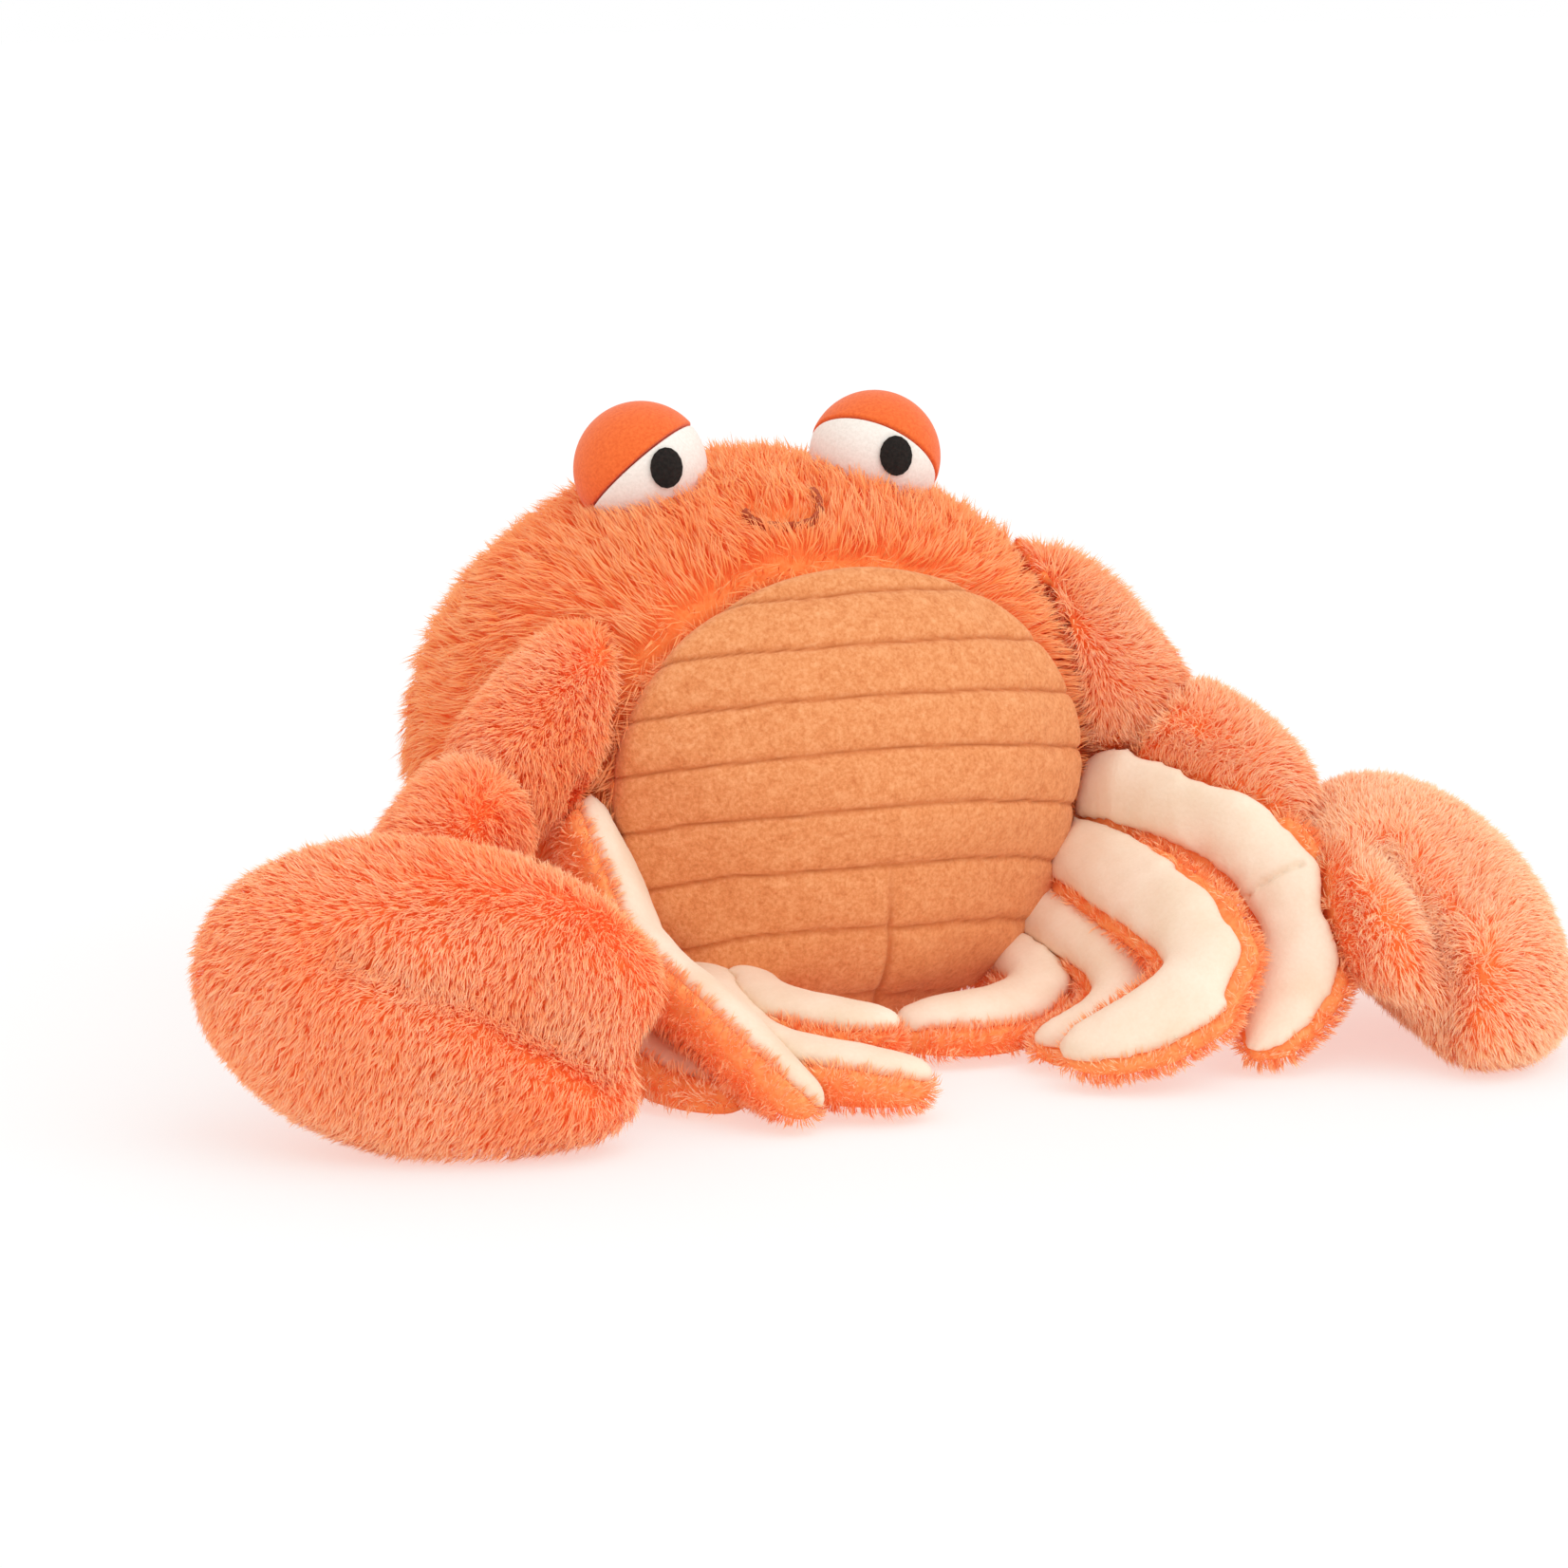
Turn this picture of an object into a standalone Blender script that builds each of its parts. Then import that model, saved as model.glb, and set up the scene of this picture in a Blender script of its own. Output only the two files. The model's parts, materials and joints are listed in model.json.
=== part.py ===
"""A plush crab: a stuffed fur body with a banded belly panel, two stuffed eyes,
two jointless fur arms that end in mitten claws, and eight flat legs.

Metres, +Z up. The crab faces -Y and sits on the plane z = 0. Left and right are
the crab's own, so its left side is at +X. The origin is the middle of the flat
underside that it sits on.

Places given in body units count x in body half widths, y in body half depths
and z in body half heights above the floor, so the limbs stay on the body when
its sizes change.
"""

import math

import bmesh
import bpy
from mathutils import Vector

# Overall fit
GAP = 0.0003  # between two pieces that touch
FLOOR_LIFT = 0.0002  # how far limbs stay above the floor

# Body
BODY_HALF_WIDTH = 0.101
BODY_HALF_DEPTH = 0.090
BODY_HALF_HEIGHT = 0.083
BODY_CENTRE_HEIGHT = 0.076
BODY_SEGMENTS = 36
BODY_RINGS = 20

# Belly panel, a banded patch on the front of the body
BELLY_HALF_WIDTH = 0.073
BELLY_HALF_HEIGHT = 0.058
BELLY_SIDE_SHIFT = 0.0065  # towards the crab's left
BELLY_LIFT = 0.0015  # the pad's face stands this far out of the body's surface
BELLY_THICKNESS = 0.007
BELLY_DROP = 0.0234  # the patch's middle below the body's middle, along the bands' tilt
BELLY_COLUMNS = 10
BAND_PITCH = 0.0146
BAND_TILT = math.radians(20)
BAND_GROOVE_DEPTH = 0.0016
BAND_GROOVE_WIDTH = 0.0024

# Eyes, each sewn from a white half and a lid half
EYE_RADIUS = 0.0188
EYE_SPACING = 0.071
EYE_ADVANCE = 0.006  # the eyes' middles in front of the body's middle
EYE_PERCH = 0.0030  # the eyes' middles above the body's surface
EYE_SEGMENTS = 20
EYE_RINGS = 6
LID_OUTWARD = 0.53  # way that the lid half faces, on the crab's left
LID_BACKWARD = 0.44
LID_UPWARD = 0.72
PUPIL_HALF_WIDTH = 0.0048
PUPIL_HALF_HEIGHT = 0.0057
PUPIL_THICKNESS = 0.0007
PUPIL_INWARD = math.radians(3)
PUPIL_UPWARD = math.radians(8)

# Mouth, a short stitched smile below the eyes
MOUTH_WIDTH = 0.0216
MOUTH_DROP = 0.0075
MOUTH_THREAD_RADIUS = 0.0011
MOUTH_SIDE_SHIFT = -0.008  # towards the crab's right
MOUTH_ANGLE = math.radians(61)  # up from the body's front, round its middle

# Arms
ARM_HALF_WIDTH = 0.0225
ARM_HALF_THICKNESS = 0.0190
ARM_SEGMENTS = 16
ARM_RINGS = 10
ARM_END_OVERLAP = 0.010  # how far each arm piece runs past its two ends

# Claws
CLAW_HALF_LENGTH = 0.062
CLAW_HALF_WIDTH = 0.0395
CLAW_HALF_THICKNESS = 0.026
CLAW_SEGMENTS = 28
CLAW_RINGS = 16
CLAW_SLIT_WIDTH = 0.0115
CLAW_SLIT_PRESS = 0.36  # of the thickness
CLAW_NOTCH = 0.010  # how far the slit cuts back at the tips

# Legs, each a fur back and a smooth cream front
LEG_WIDTH = 0.029
LEG_THICKNESS = 0.017
LEG_FRONT_SHARE = 0.38  # of the thickness
LEG_FRONT_WIDTH_SHARE = 0.80
LEG_STATIONS = 12
LEG_SIZES = {"left_3": 0.72, "left_4": 0.80, "right_2": 0.95, "right_3": 0.80, "right_4": 0.90}

COLOURS = {
    "fur": (0.86, 0.20, 0.07, 1.0),
    "fur_light": (0.93, 0.29, 0.12, 1.0),
    "belly": (0.93, 0.36, 0.14, 1.0),
    "cream": (0.95, 0.72, 0.50, 1.0),
    "eye_white": (0.88, 0.80, 0.70, 1.0),
    "eyelid": (0.93, 0.17, 0.03, 1.0),
    "black": (0.012, 0.010, 0.010, 1.0),
    "thread": (0.30, 0.05, 0.02, 1.0),
}

# Shoulder, elbow and wrist of each arm, in body units
ARM_POINTS = {
    "left": ((0.66, -0.18, 1.44), (1.03, -0.56, 0.98), (1.26, -0.93, 0.69)),
    "right": ((-0.58, -0.49, 1.31), (-0.99, -0.71, 0.93), (-1.32, -1.09, 0.67)),
}

# Middle of each claw on the floor plan, in body units, the way its tips point,
# and the way its width runs; then where its slit lies at the middle and the tips
CLAW_PLACES = {
    "left": ((1.60, -1.22), (-0.22, -0.93, -0.29), (0.90, -0.10, -0.40)),
    "right": ((-1.31, -1.34), (0.92, -0.36, -0.17), (0.20, 0.16, 0.97)),
}
CLAW_SLIT_OFFSETS = {"left": (-0.25, -0.32), "right": (0.30, -0.12)}  # of the half width

# Middle line of each leg from root to tip, in body units, with the way that
# the cream front faces there
LEG_PATHS = {
    "left_1": (
        (0.80, -0.30, 0.75, (-0.60, -0.60, 0.50)),
        (0.86, -0.65, 0.79, (-0.60, -0.58, 0.52)),
        (0.96, -0.79, 0.78, (-0.62, -0.55, 0.56)),
        (1.08, -0.98, 0.71, (-0.62, -0.48, 0.60)),
        (1.17, -1.15, 0.61, (-0.62, -0.45, 0.62)),
        (1.20, -1.35, 0.41, (-0.60, -0.48, 0.62)),
        (1.08, -1.47, 0.21, (-0.45, -0.50, 0.72)),
        (0.92, -1.53, 0.09, (-0.25, -0.55, 0.80)),
    ),
    "left_2": (
        (0.72, -0.38, 0.62, (-0.55, -0.55, 0.60)),
        (0.77, -0.69, 0.58, (-0.55, -0.52, 0.62)),
        (0.80, -0.96, 0.52, (-0.55, -0.48, 0.66)),
        (0.82, -1.24, 0.50, (-0.55, -0.42, 0.70)),
        (0.86, -1.48, 0.39, (-0.50, -0.45, 0.72)),
        (0.70, -1.55, 0.25, (-0.30, -0.50, 0.80)),
        (0.54, -1.50, 0.18, (-0.15, -0.50, 0.84)),
        (0.40, -1.44, 0.12, (-0.08, -0.48, 0.86)),
    ),
    "left_3": (
        (0.61, -0.45, 0.38, (-0.55, -0.55, 0.60)),
        (0.66, -0.74, 0.36, (-0.50, -0.52, 0.66)),
        (0.71, -1.02, 0.31, (-0.45, -0.48, 0.72)),
        (0.71, -1.21, 0.22, (-0.35, -0.48, 0.78)),
        (0.58, -1.28, 0.13, (-0.20, -0.50, 0.82)),
        (0.40, -1.24, 0.10, (-0.12, -0.46, 0.86)),
    ),
    "left_4": (
        (0.53, -0.47, 0.24, (-0.45, -0.50, 0.70)),
        (0.58, -0.73, 0.26, (-0.42, -0.46, 0.76)),
        (0.57, -0.95, 0.18, (-0.30, -0.35, 0.86)),
        (0.41, -1.01, 0.13, (-0.10, -0.18, 0.97)),
        (0.23, -1.03, 0.15, (0.00, -0.08, 0.99)),
        (0.07, -1.03, 0.13, (0.00, -0.04, 1.00)),
    ),
    "right_1": (
        (-0.68, -0.44, 0.99, (0.72, -0.55, 0.25)),
        (-0.70, -0.74, 0.83, (0.76, -0.42, 0.32)),
        (-0.65, -0.81, 0.62, (0.76, -0.25, 0.45)),
        (-0.65, -0.97, 0.45, (0.66, 0.05, 0.66)),
        (-0.55, -1.17, 0.36, (0.56, 0.14, 0.74)),
        (-0.45, -1.42, 0.20, (0.54, 0.16, 0.78)),
        (-0.36, -1.62, 0.09, (0.50, 0.16, 0.82)),
    ),
    "right_2": (
        (-0.34, -0.57, 0.33, (0.35, 0.00, 0.90)),
        (-0.42, -0.90, 0.26, (0.30, 0.10, 0.92)),
        (-0.44, -1.20, 0.19, (0.20, 0.16, 0.95)),
        (-0.31, -1.38, 0.16, (0.12, 0.20, 0.96)),
        (-0.16, -1.50, 0.15, (0.05, 0.22, 0.96)),
        (-0.04, -1.61, 0.13, (0.05, 0.22, 0.96)),
    ),
    "right_3": (
        (-0.27, -0.55, 0.32, (0.25, 0.00, 0.95)),
        (-0.33, -0.88, 0.26, (0.20, 0.06, 0.97)),
        (-0.26, -1.12, 0.23, (0.08, 0.06, 0.98)),
        (-0.14, -1.26, 0.23, (0.00, 0.04, 0.99)),
        (-0.03, -1.34, 0.23, (0.00, 0.02, 1.00)),
    ),
    "right_4": (
        (-0.68, -0.42, 0.33, (0.45, 0.20, 0.85)),
        (-0.68, -0.77, 0.23, (0.40, 0.30, 0.85)),
        (-0.63, -1.06, 0.11, (0.30, 0.35, 0.87)),
        (-0.56, -1.25, 0.09, (0.20, 0.35, 0.90)),
        (-0.47, -1.37, 0.09, (0.15, 0.35, 0.90)),
    ),
}

for leftover in list(bpy.data.objects):
    bpy.data.objects.remove(leftover)


def body_place(x, y, z):
    """A point given in body units."""
    return Vector((x * BODY_HALF_WIDTH, y * BODY_HALF_DEPTH, z * BODY_HALF_HEIGHT))


def plush_material(name, colour, roughness):
    material = bpy.data.materials.new(name)
    material.use_nodes = True
    shader = material.node_tree.nodes["Principled BSDF"]
    shader.inputs["Base Color"].default_value = COLOURS[colour]
    shader.inputs["Roughness"].default_value = roughness
    return material


whole_shapes = {}  # each piece before it makes room for its neighbours


def make_node(name, mesh_data, colour, roughness=0.9):
    """An object of one closed mesh, with faces turned out and its own material."""
    bmesh.ops.triangulate(mesh_data, faces=mesh_data.faces)
    bmesh.ops.recalc_face_normals(mesh_data, faces=mesh_data.faces)
    mesh = bpy.data.meshes.new(name)
    mesh_data.to_mesh(mesh)
    mesh_data.free()
    node = bpy.data.objects.new(name, mesh)
    bpy.context.scene.collection.objects.link(node)
    mesh.materials.append(plush_material(f"{name}_{colour}", colour, roughness))
    whole_shapes[name] = mesh.copy()
    return node


def close_rings(mesh_data, rings, start, end):
    """Faces over a row of rings, with a pole or a flat face at each end."""
    count = len(rings[0])
    for before, after in zip(rings, rings[1:]):
        for index in range(count):
            following = (index + 1) % count
            mesh_data.faces.new((before[index], before[following], after[following], after[index]))
    for ring, pole in ((rings[0], start), (rings[-1], end)):
        if pole is None:
            mesh_data.faces.new(ring)
            continue
        for index in range(count):
            mesh_data.faces.new((ring[index], ring[(index + 1) % count], pole))


def stuffed_pod(centre, along, across, half_length, half_width, half_thickness,
                segments, rings, fullness=2.0, shape=None):
    """A closed, rounded pod whose poles lie on its length."""
    along = along.normalized()
    across = (across - along * across.dot(along)).normalized()
    through = along.cross(across)
    power = 2.0 / fullness

    def place(angle, turn):
        cosine = math.cos(angle)
        length = -math.copysign(abs(cosine) ** power, cosine)
        reach = abs(math.sin(angle)) ** power
        local = Vector((length, reach * math.cos(turn), reach * math.sin(turn)))
        local = Vector((local.x * half_length, local.y * half_width, local.z * half_thickness))
        if shape:
            local = shape(local)
        return centre + along * local.x + across * local.y + through * local.z

    mesh_data = bmesh.new()
    all_rings = []
    for step in range(1, rings):
        angle = math.pi * step / rings
        turns = [2 * math.pi * index / segments for index in range(segments)]
        all_rings.append([mesh_data.verts.new(place(angle, turn)) for turn in turns])
    start = mesh_data.verts.new(place(0.0, 0.0))
    end = mesh_data.verts.new(place(math.pi, 0.0))
    close_rings(mesh_data, all_rings, start, end)
    return mesh_data


def keep_above(mesh_data, height):
    """Cut flat at this height, and close the cut."""
    everything = mesh_data.verts[:] + mesh_data.edges[:] + mesh_data.faces[:]
    cut = bmesh.ops.bisect_plane(mesh_data, geom=everything, dist=1e-6,
                                 plane_co=(0, 0, height), plane_no=(0, 0, 1), clear_inner=True)
    rim = [part for part in cut["geom_cut"] if isinstance(part, bmesh.types.BMEdge)]
    if rim:
        bmesh.ops.edgenet_fill(mesh_data, edges=rim)
    return mesh_data


def grown_copy(node):
    """The whole shape of a piece, larger by the gap on every side."""
    copy = bpy.data.objects.new("cutter", whole_shapes[node.name].copy())
    bpy.context.scene.collection.objects.link(copy)
    mesh_data = bmesh.new()
    mesh_data.from_mesh(copy.data)
    mesh_data.normal_update()
    moves = [vertex.normal * GAP * vertex.calc_shell_factor() for vertex in mesh_data.verts]
    for vertex, move in zip(mesh_data.verts, moves):
        vertex.co += move
    mesh_data.to_mesh(copy.data)
    mesh_data.free()
    return copy


def boxes_meet(first, second):
    """Whether the boxes round two objects come within the gap of each other."""
    ends = []
    for node in (first, second):
        points = [vertex.co for vertex in node.data.vertices]
        low = [min(point[axis] for point in points) for axis in range(3)]
        high = [max(point[axis] for point in points) for axis in range(3)]
        ends.append((low, high))
    (low_a, high_a), (low_b, high_b) = ends
    return all(low_a[axis] < high_b[axis] + GAP and low_b[axis] < high_a[axis] + GAP
               for axis in range(3))


def make_room(node, neighbours):
    """Cut away what would run into the neighbours, less the gap."""
    cutters = bpy.data.collections.new("cutters")
    for neighbour in neighbours:
        if boxes_meet(node, neighbour):
            cutters.objects.link(grown_copy(neighbour))
    if cutters.objects:
        cut = node.modifiers.new("room", "BOOLEAN")
        cut.operation = "DIFFERENCE"
        cut.solver = "EXACT"
        cut.operand_type = "COLLECTION"
        cut.collection = cutters
        graph = bpy.context.evaluated_depsgraph_get()
        mesh = bpy.data.meshes.new_from_object(node.evaluated_get(graph), depsgraph=graph)
        node.modifiers.clear()
        old = node.data
        node.data = mesh
        bpy.data.meshes.remove(old)
        mesh.name = node.name
    for cutter in list(cutters.objects):
        bpy.data.objects.remove(cutter)
    bpy.data.collections.remove(cutters)
    tidy_mesh(node)


def tidy_mesh(node):
    """Merge doubled points and keep the largest closed lump."""
    mesh_data = bmesh.new()
    mesh_data.from_mesh(node.data)
    bmesh.ops.remove_doubles(mesh_data, verts=mesh_data.verts, dist=0.00001)
    waiting = set(mesh_data.verts)
    lumps = []
    while waiting:
        lump = set()
        reach = [waiting.pop()]
        while reach:
            vertex = reach.pop()
            lump.add(vertex)
            for edge in vertex.link_edges:
                other = edge.other_vert(vertex)
                if other in waiting:
                    waiting.discard(other)
                    reach.append(other)
        lumps.append(lump)
    lumps.sort(key=len)
    for lump in lumps[:-1]:
        bmesh.ops.delete(mesh_data, geom=list(lump), context="VERTS")
    mesh_data.to_mesh(node.data)
    mesh_data.free()


# Body
BODY_CENTRE = Vector((0, 0, BODY_CENTRE_HEIGHT))


def body_top(x, y):
    """Height of the body's upper surface over a point of the floor plan."""
    rest = 1 - (x / BODY_HALF_WIDTH) ** 2 - (y / BODY_HALF_DEPTH) ** 2
    return BODY_CENTRE_HEIGHT + BODY_HALF_HEIGHT * math.sqrt(max(rest, 0.0))


body_mesh = stuffed_pod(BODY_CENTRE, Vector((0, 0, 1)), Vector((1, 0, 0)), BODY_HALF_HEIGHT,
                        BODY_HALF_WIDTH, BODY_HALF_DEPTH, BODY_SEGMENTS, BODY_RINGS)
body = make_node("body", keep_above(body_mesh, 0.0), "fur")


# Belly panel
BAND_UP = Vector((0, math.sin(BAND_TILT), math.cos(BAND_TILT)))
BAND_OUT = Vector((0, -math.cos(BAND_TILT), math.sin(BAND_TILT)))


def front_of_body(x, rise):
    """The body's front at a width x and a distance up the tilted bands."""
    low = BAND_UP * rise
    first = (BAND_OUT.y / BODY_HALF_DEPTH) ** 2 + (BAND_OUT.z / BODY_HALF_HEIGHT) ** 2
    second = 2 * (low.y * BAND_OUT.y / BODY_HALF_DEPTH ** 2
                  + low.z * BAND_OUT.z / BODY_HALF_HEIGHT ** 2)
    third = ((x / BODY_HALF_WIDTH) ** 2 + (low.y / BODY_HALF_DEPTH) ** 2
             + (low.z / BODY_HALF_HEIGHT) ** 2 - 1)
    root = math.sqrt(max(second ** 2 - 4 * first * third, 0.0))
    reach = (-second + root) / (2 * first)
    return BODY_CENTRE + low + BAND_OUT * reach + Vector((x, 0, 0))


def body_normal(point):
    rest = point - BODY_CENTRE
    return Vector((rest.x / BODY_HALF_WIDTH ** 2, rest.y / BODY_HALF_DEPTH ** 2,
                   rest.z / BODY_HALF_HEIGHT ** 2)).normalized()


def band_rows():
    """Heights of the panel's rows and how deep the panel dips at each."""
    top = BELLY_HALF_HEIGHT - BELLY_DROP
    bottom = -BELLY_HALF_HEIGHT - BELLY_DROP
    rows = []
    line = top - BAND_PITCH * 0.65
    while line > bottom + BAND_PITCH * 0.3:
        rows.append((line + BAND_GROOVE_WIDTH / 2, 0.0))
        rows.append((line, BAND_GROOVE_DEPTH))
        rows.append((line - BAND_GROOVE_WIDTH / 2, 0.0))
        line -= BAND_PITCH
    for share in (-0.985, -0.93, 0.93, 0.985):
        rows.append((share * BELLY_HALF_HEIGHT - BELLY_DROP, 0.0))
    line = top - BAND_PITCH * 1.15
    while line > bottom + BAND_PITCH:
        rows.append((line, 0.0))
        line -= BAND_PITCH
    rows.sort(reverse=True)
    kept = [rows[0]]
    for row in rows[1:]:
        if row[1] or kept[-1][1] or kept[-1][0] - row[0] > 0.001:
            kept.append(row)
    return kept


def belly_mesh(grooved=True):
    mesh_data = bmesh.new()
    fronts = []
    backs = []
    for rise, dip in band_rows():
        share = (rise + BELLY_DROP) / BELLY_HALF_HEIGHT
        half = BELLY_HALF_WIDTH * math.sqrt(max(1 - share ** 2, 0.0))
        front = []
        back = []
        for column in range(BELLY_COLUMNS + 1):
            angle = math.pi * column / BELLY_COLUMNS
            x = BELLY_SIDE_SHIFT - half * math.cos(angle)
            point = front_of_body(x, rise)
            normal = body_normal(point)
            rim = column in (0, BELLY_COLUMNS)
            front.append(mesh_data.verts.new(point + normal * (BELLY_LIFT - (dip if grooved and not rim else 0))))
            back.append(mesh_data.verts.new(point + normal * (BELLY_LIFT - BELLY_THICKNESS)))
        fronts.append(front)
        backs.append(back)
    for grid in (fronts, backs):
        for upper, lower in zip(grid, grid[1:]):
            for column in range(BELLY_COLUMNS):
                mesh_data.faces.new((upper[column], upper[column + 1],
                                     lower[column + 1], lower[column]))
    for column in range(BELLY_COLUMNS):
        for row in (0, -1):
            mesh_data.faces.new((fronts[row][column], fronts[row][column + 1],
                                 backs[row][column + 1], backs[row][column]))
    for row in range(len(fronts) - 1):
        for column in (0, -1):
            mesh_data.faces.new((fronts[row][column], fronts[row + 1][column],
                                 backs[row + 1][column], backs[row][column]))
    return mesh_data


belly_panel = make_node("belly_panel", belly_mesh(), "belly")
belly_blank = make_node("belly_blank", belly_mesh(grooved=False), "belly")
whole_shapes["belly_panel"] = whole_shapes.pop("belly_blank")
bpy.data.objects.remove(belly_blank)
make_room(body, [belly_panel])


# Eyes
def half_ball(centre, facing, radius, lift):
    """Half of a ball on the side that it faces, its flat side closed."""
    facing = facing.normalized()
    across = facing.orthogonal().normalized()
    beside = facing.cross(across)
    mesh_data = bmesh.new()
    rings = []
    for step in range(EYE_RINGS):
        angle = math.pi / 2 * step / EYE_RINGS
        height = max(radius * math.sin(angle), lift)
        reach = radius * math.cos(angle)
        ring = []
        for index in range(EYE_SEGMENTS):
            turn = 2 * math.pi * index / EYE_SEGMENTS
            side = across * math.cos(turn) + beside * math.sin(turn)
            ring.append(mesh_data.verts.new(centre + side * reach + facing * height))
        rings.append(ring)
    close_rings(mesh_data, rings, None, mesh_data.verts.new(centre + facing * radius))
    return mesh_data


def pupil_disc(centre, facing):
    """A thin oval felt disc that follows the ball."""
    facing = facing.normalized()
    across = facing.cross(Vector((0, 0, 1))).normalized()
    upward = across.cross(facing)
    inner = EYE_RADIUS + GAP
    outer = inner + PUPIL_THICKNESS
    mesh_data = bmesh.new()
    layers = []
    for radius in (inner, outer):
        rings = []
        for share in (0.5, 1.0):
            ring = []
            for index in range(16):
                turn = 2 * math.pi * index / 16
                side = (across * PUPIL_HALF_WIDTH * math.cos(turn)
                        + upward * PUPIL_HALF_HEIGHT * math.sin(turn)) * share
                direction = (facing * EYE_RADIUS + side).normalized()
                ring.append(mesh_data.verts.new(centre + direction * radius))
            rings.append(ring)
        layers.append((rings, mesh_data.verts.new(centre + facing * radius)))
    (low_rings, low_pole), (high_rings, high_pole) = layers
    rings = [low_rings[0], low_rings[1], high_rings[1], high_rings[0]]
    close_rings(mesh_data, rings, low_pole, high_pole)
    return mesh_data


eye_nodes = []
for side_name, side in (("left", 1), ("right", -1)):
    eye_x = side * EYE_SPACING / 2
    eye_z = body_top(eye_x, -EYE_ADVANCE) + EYE_PERCH
    eye_centre = Vector((eye_x, -EYE_ADVANCE, eye_z))
    lid_way = Vector((side * LID_OUTWARD, LID_BACKWARD, LID_UPWARD))
    lid = make_node(f"eyelid_{side_name}", half_ball(eye_centre, lid_way, EYE_RADIUS, GAP / 2),
                    "eyelid")
    white = make_node(f"eye_white_{side_name}",
                      half_ball(eye_centre, -lid_way, EYE_RADIUS, GAP / 2), "eye_white")
    pupil_way = Vector((-side * math.sin(PUPIL_INWARD), -math.cos(PUPIL_UPWARD),
                        math.sin(PUPIL_UPWARD)))
    pupil = make_node(f"pupil_{side_name}", pupil_disc(eye_centre, pupil_way), "black", 0.6)
    make_room(lid, [body])
    make_room(white, [body])
    eye_nodes += [lid, white, pupil]


# Mouth
def mouth_mesh():
    """A thread laid on the body's front in a shallow U."""
    stations = 9
    centre_rise = BODY_HALF_HEIGHT * math.sin(MOUTH_ANGLE)
    centre_reach = -BODY_HALF_DEPTH * math.cos(MOUTH_ANGLE)
    middle = BODY_CENTRE + Vector((0, centre_reach, centre_rise))
    down = (Vector((1, 0, 0)).cross(body_normal(middle))).normalized()
    if down.z > 0:
        down = -down
    points = []
    for step in range(stations):
        share = -1 + 2 * step / (stations - 1)
        flat = middle + Vector((MOUTH_SIDE_SHIFT + share * MOUTH_WIDTH / 2, 0, 0))
        flat += down * MOUTH_DROP * math.sqrt(1 - 0.97 * share ** 2)
        rest = flat - BODY_CENTRE
        size = math.sqrt((rest.x / BODY_HALF_WIDTH) ** 2 + (rest.y / BODY_HALF_DEPTH) ** 2
                         + (rest.z / BODY_HALF_HEIGHT) ** 2)
        surface = BODY_CENTRE + rest / size
        points.append(surface + body_normal(surface) * (MOUTH_THREAD_RADIUS + GAP))
    mesh_data = bmesh.new()
    rings = []
    for index, point in enumerate(points):
        tangent = (points[min(index + 1, stations - 1)] - points[max(index - 1, 0)]).normalized()
        outward = body_normal(point)
        beside = tangent.cross(outward).normalized()
        outward = beside.cross(tangent)
        ring = []
        for corner in range(6):
            turn = 2 * math.pi * corner / 6
            offset = outward * math.sin(turn) + beside * math.cos(turn)
            ring.append(mesh_data.verts.new(point + offset * MOUTH_THREAD_RADIUS))
        rings.append(ring)
    close_rings(mesh_data, rings, None, None)
    return mesh_data


mouth_stitch = make_node("mouth_stitch", mouth_mesh(), "thread")


# Claws
def rest_on_floor(mesh_data):
    """Move straight up or down until the lowest point is just above the floor."""
    lowest = min(vertex.co.z for vertex in mesh_data.verts)
    for vertex in mesh_data.verts:
        vertex.co.z += FLOOR_LIFT - lowest


def claw_mesh(side_name):
    (plan_x, plan_y), along, across = CLAW_PLACES[side_name]
    middle_offset, tip_offset = CLAW_SLIT_OFFSETS[side_name]

    def lobes(local):
        """Press a slit into both broad faces, deepest between the tips."""
        place = local.x / CLAW_HALF_LENGTH
        run = min(max(place + 0.30, 0.0), 1.0)
        run = run * run * (3 - 2 * run)
        offset = (middle_offset + (tip_offset - middle_offset) * place) * CLAW_HALF_WIDTH
        press = run * math.exp(-((local.y - offset) / CLAW_SLIT_WIDTH) ** 2)
        return Vector((local.x - CLAW_NOTCH * press * run, local.y, local.z * (1 - CLAW_SLIT_PRESS * press)))

    centre = body_place(plan_x, plan_y, 0.5)
    mesh_data = stuffed_pod(centre, Vector(along), Vector(across), CLAW_HALF_LENGTH,
                            CLAW_HALF_WIDTH, CLAW_HALF_THICKNESS, CLAW_SEGMENTS, CLAW_RINGS,
                            fullness=2.05, shape=lobes)
    rest_on_floor(mesh_data)
    return mesh_data


def arm_mesh(start, end):
    middle = (start + end) / 2
    along = end - start
    return stuffed_pod(middle, along, Vector((0.3, 0, 1)), along.length / 2 + ARM_END_OVERLAP,
                       ARM_HALF_WIDTH, ARM_HALF_THICKNESS, ARM_SEGMENTS, ARM_RINGS, fullness=2.5)


limbs = []
for side_name in ("left", "right"):
    shoulder, elbow, wrist = (body_place(*point) for point in ARM_POINTS[side_name])
    claw = make_node(f"claw_{side_name}", claw_mesh(side_name), "fur_light")
    upper_arm = make_node(f"upper_arm_{side_name}", arm_mesh(shoulder, elbow), "fur")
    forearm = make_node(f"forearm_{side_name}", arm_mesh(elbow, wrist), "fur")
    limbs += [claw, upper_arm, forearm]


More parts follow.
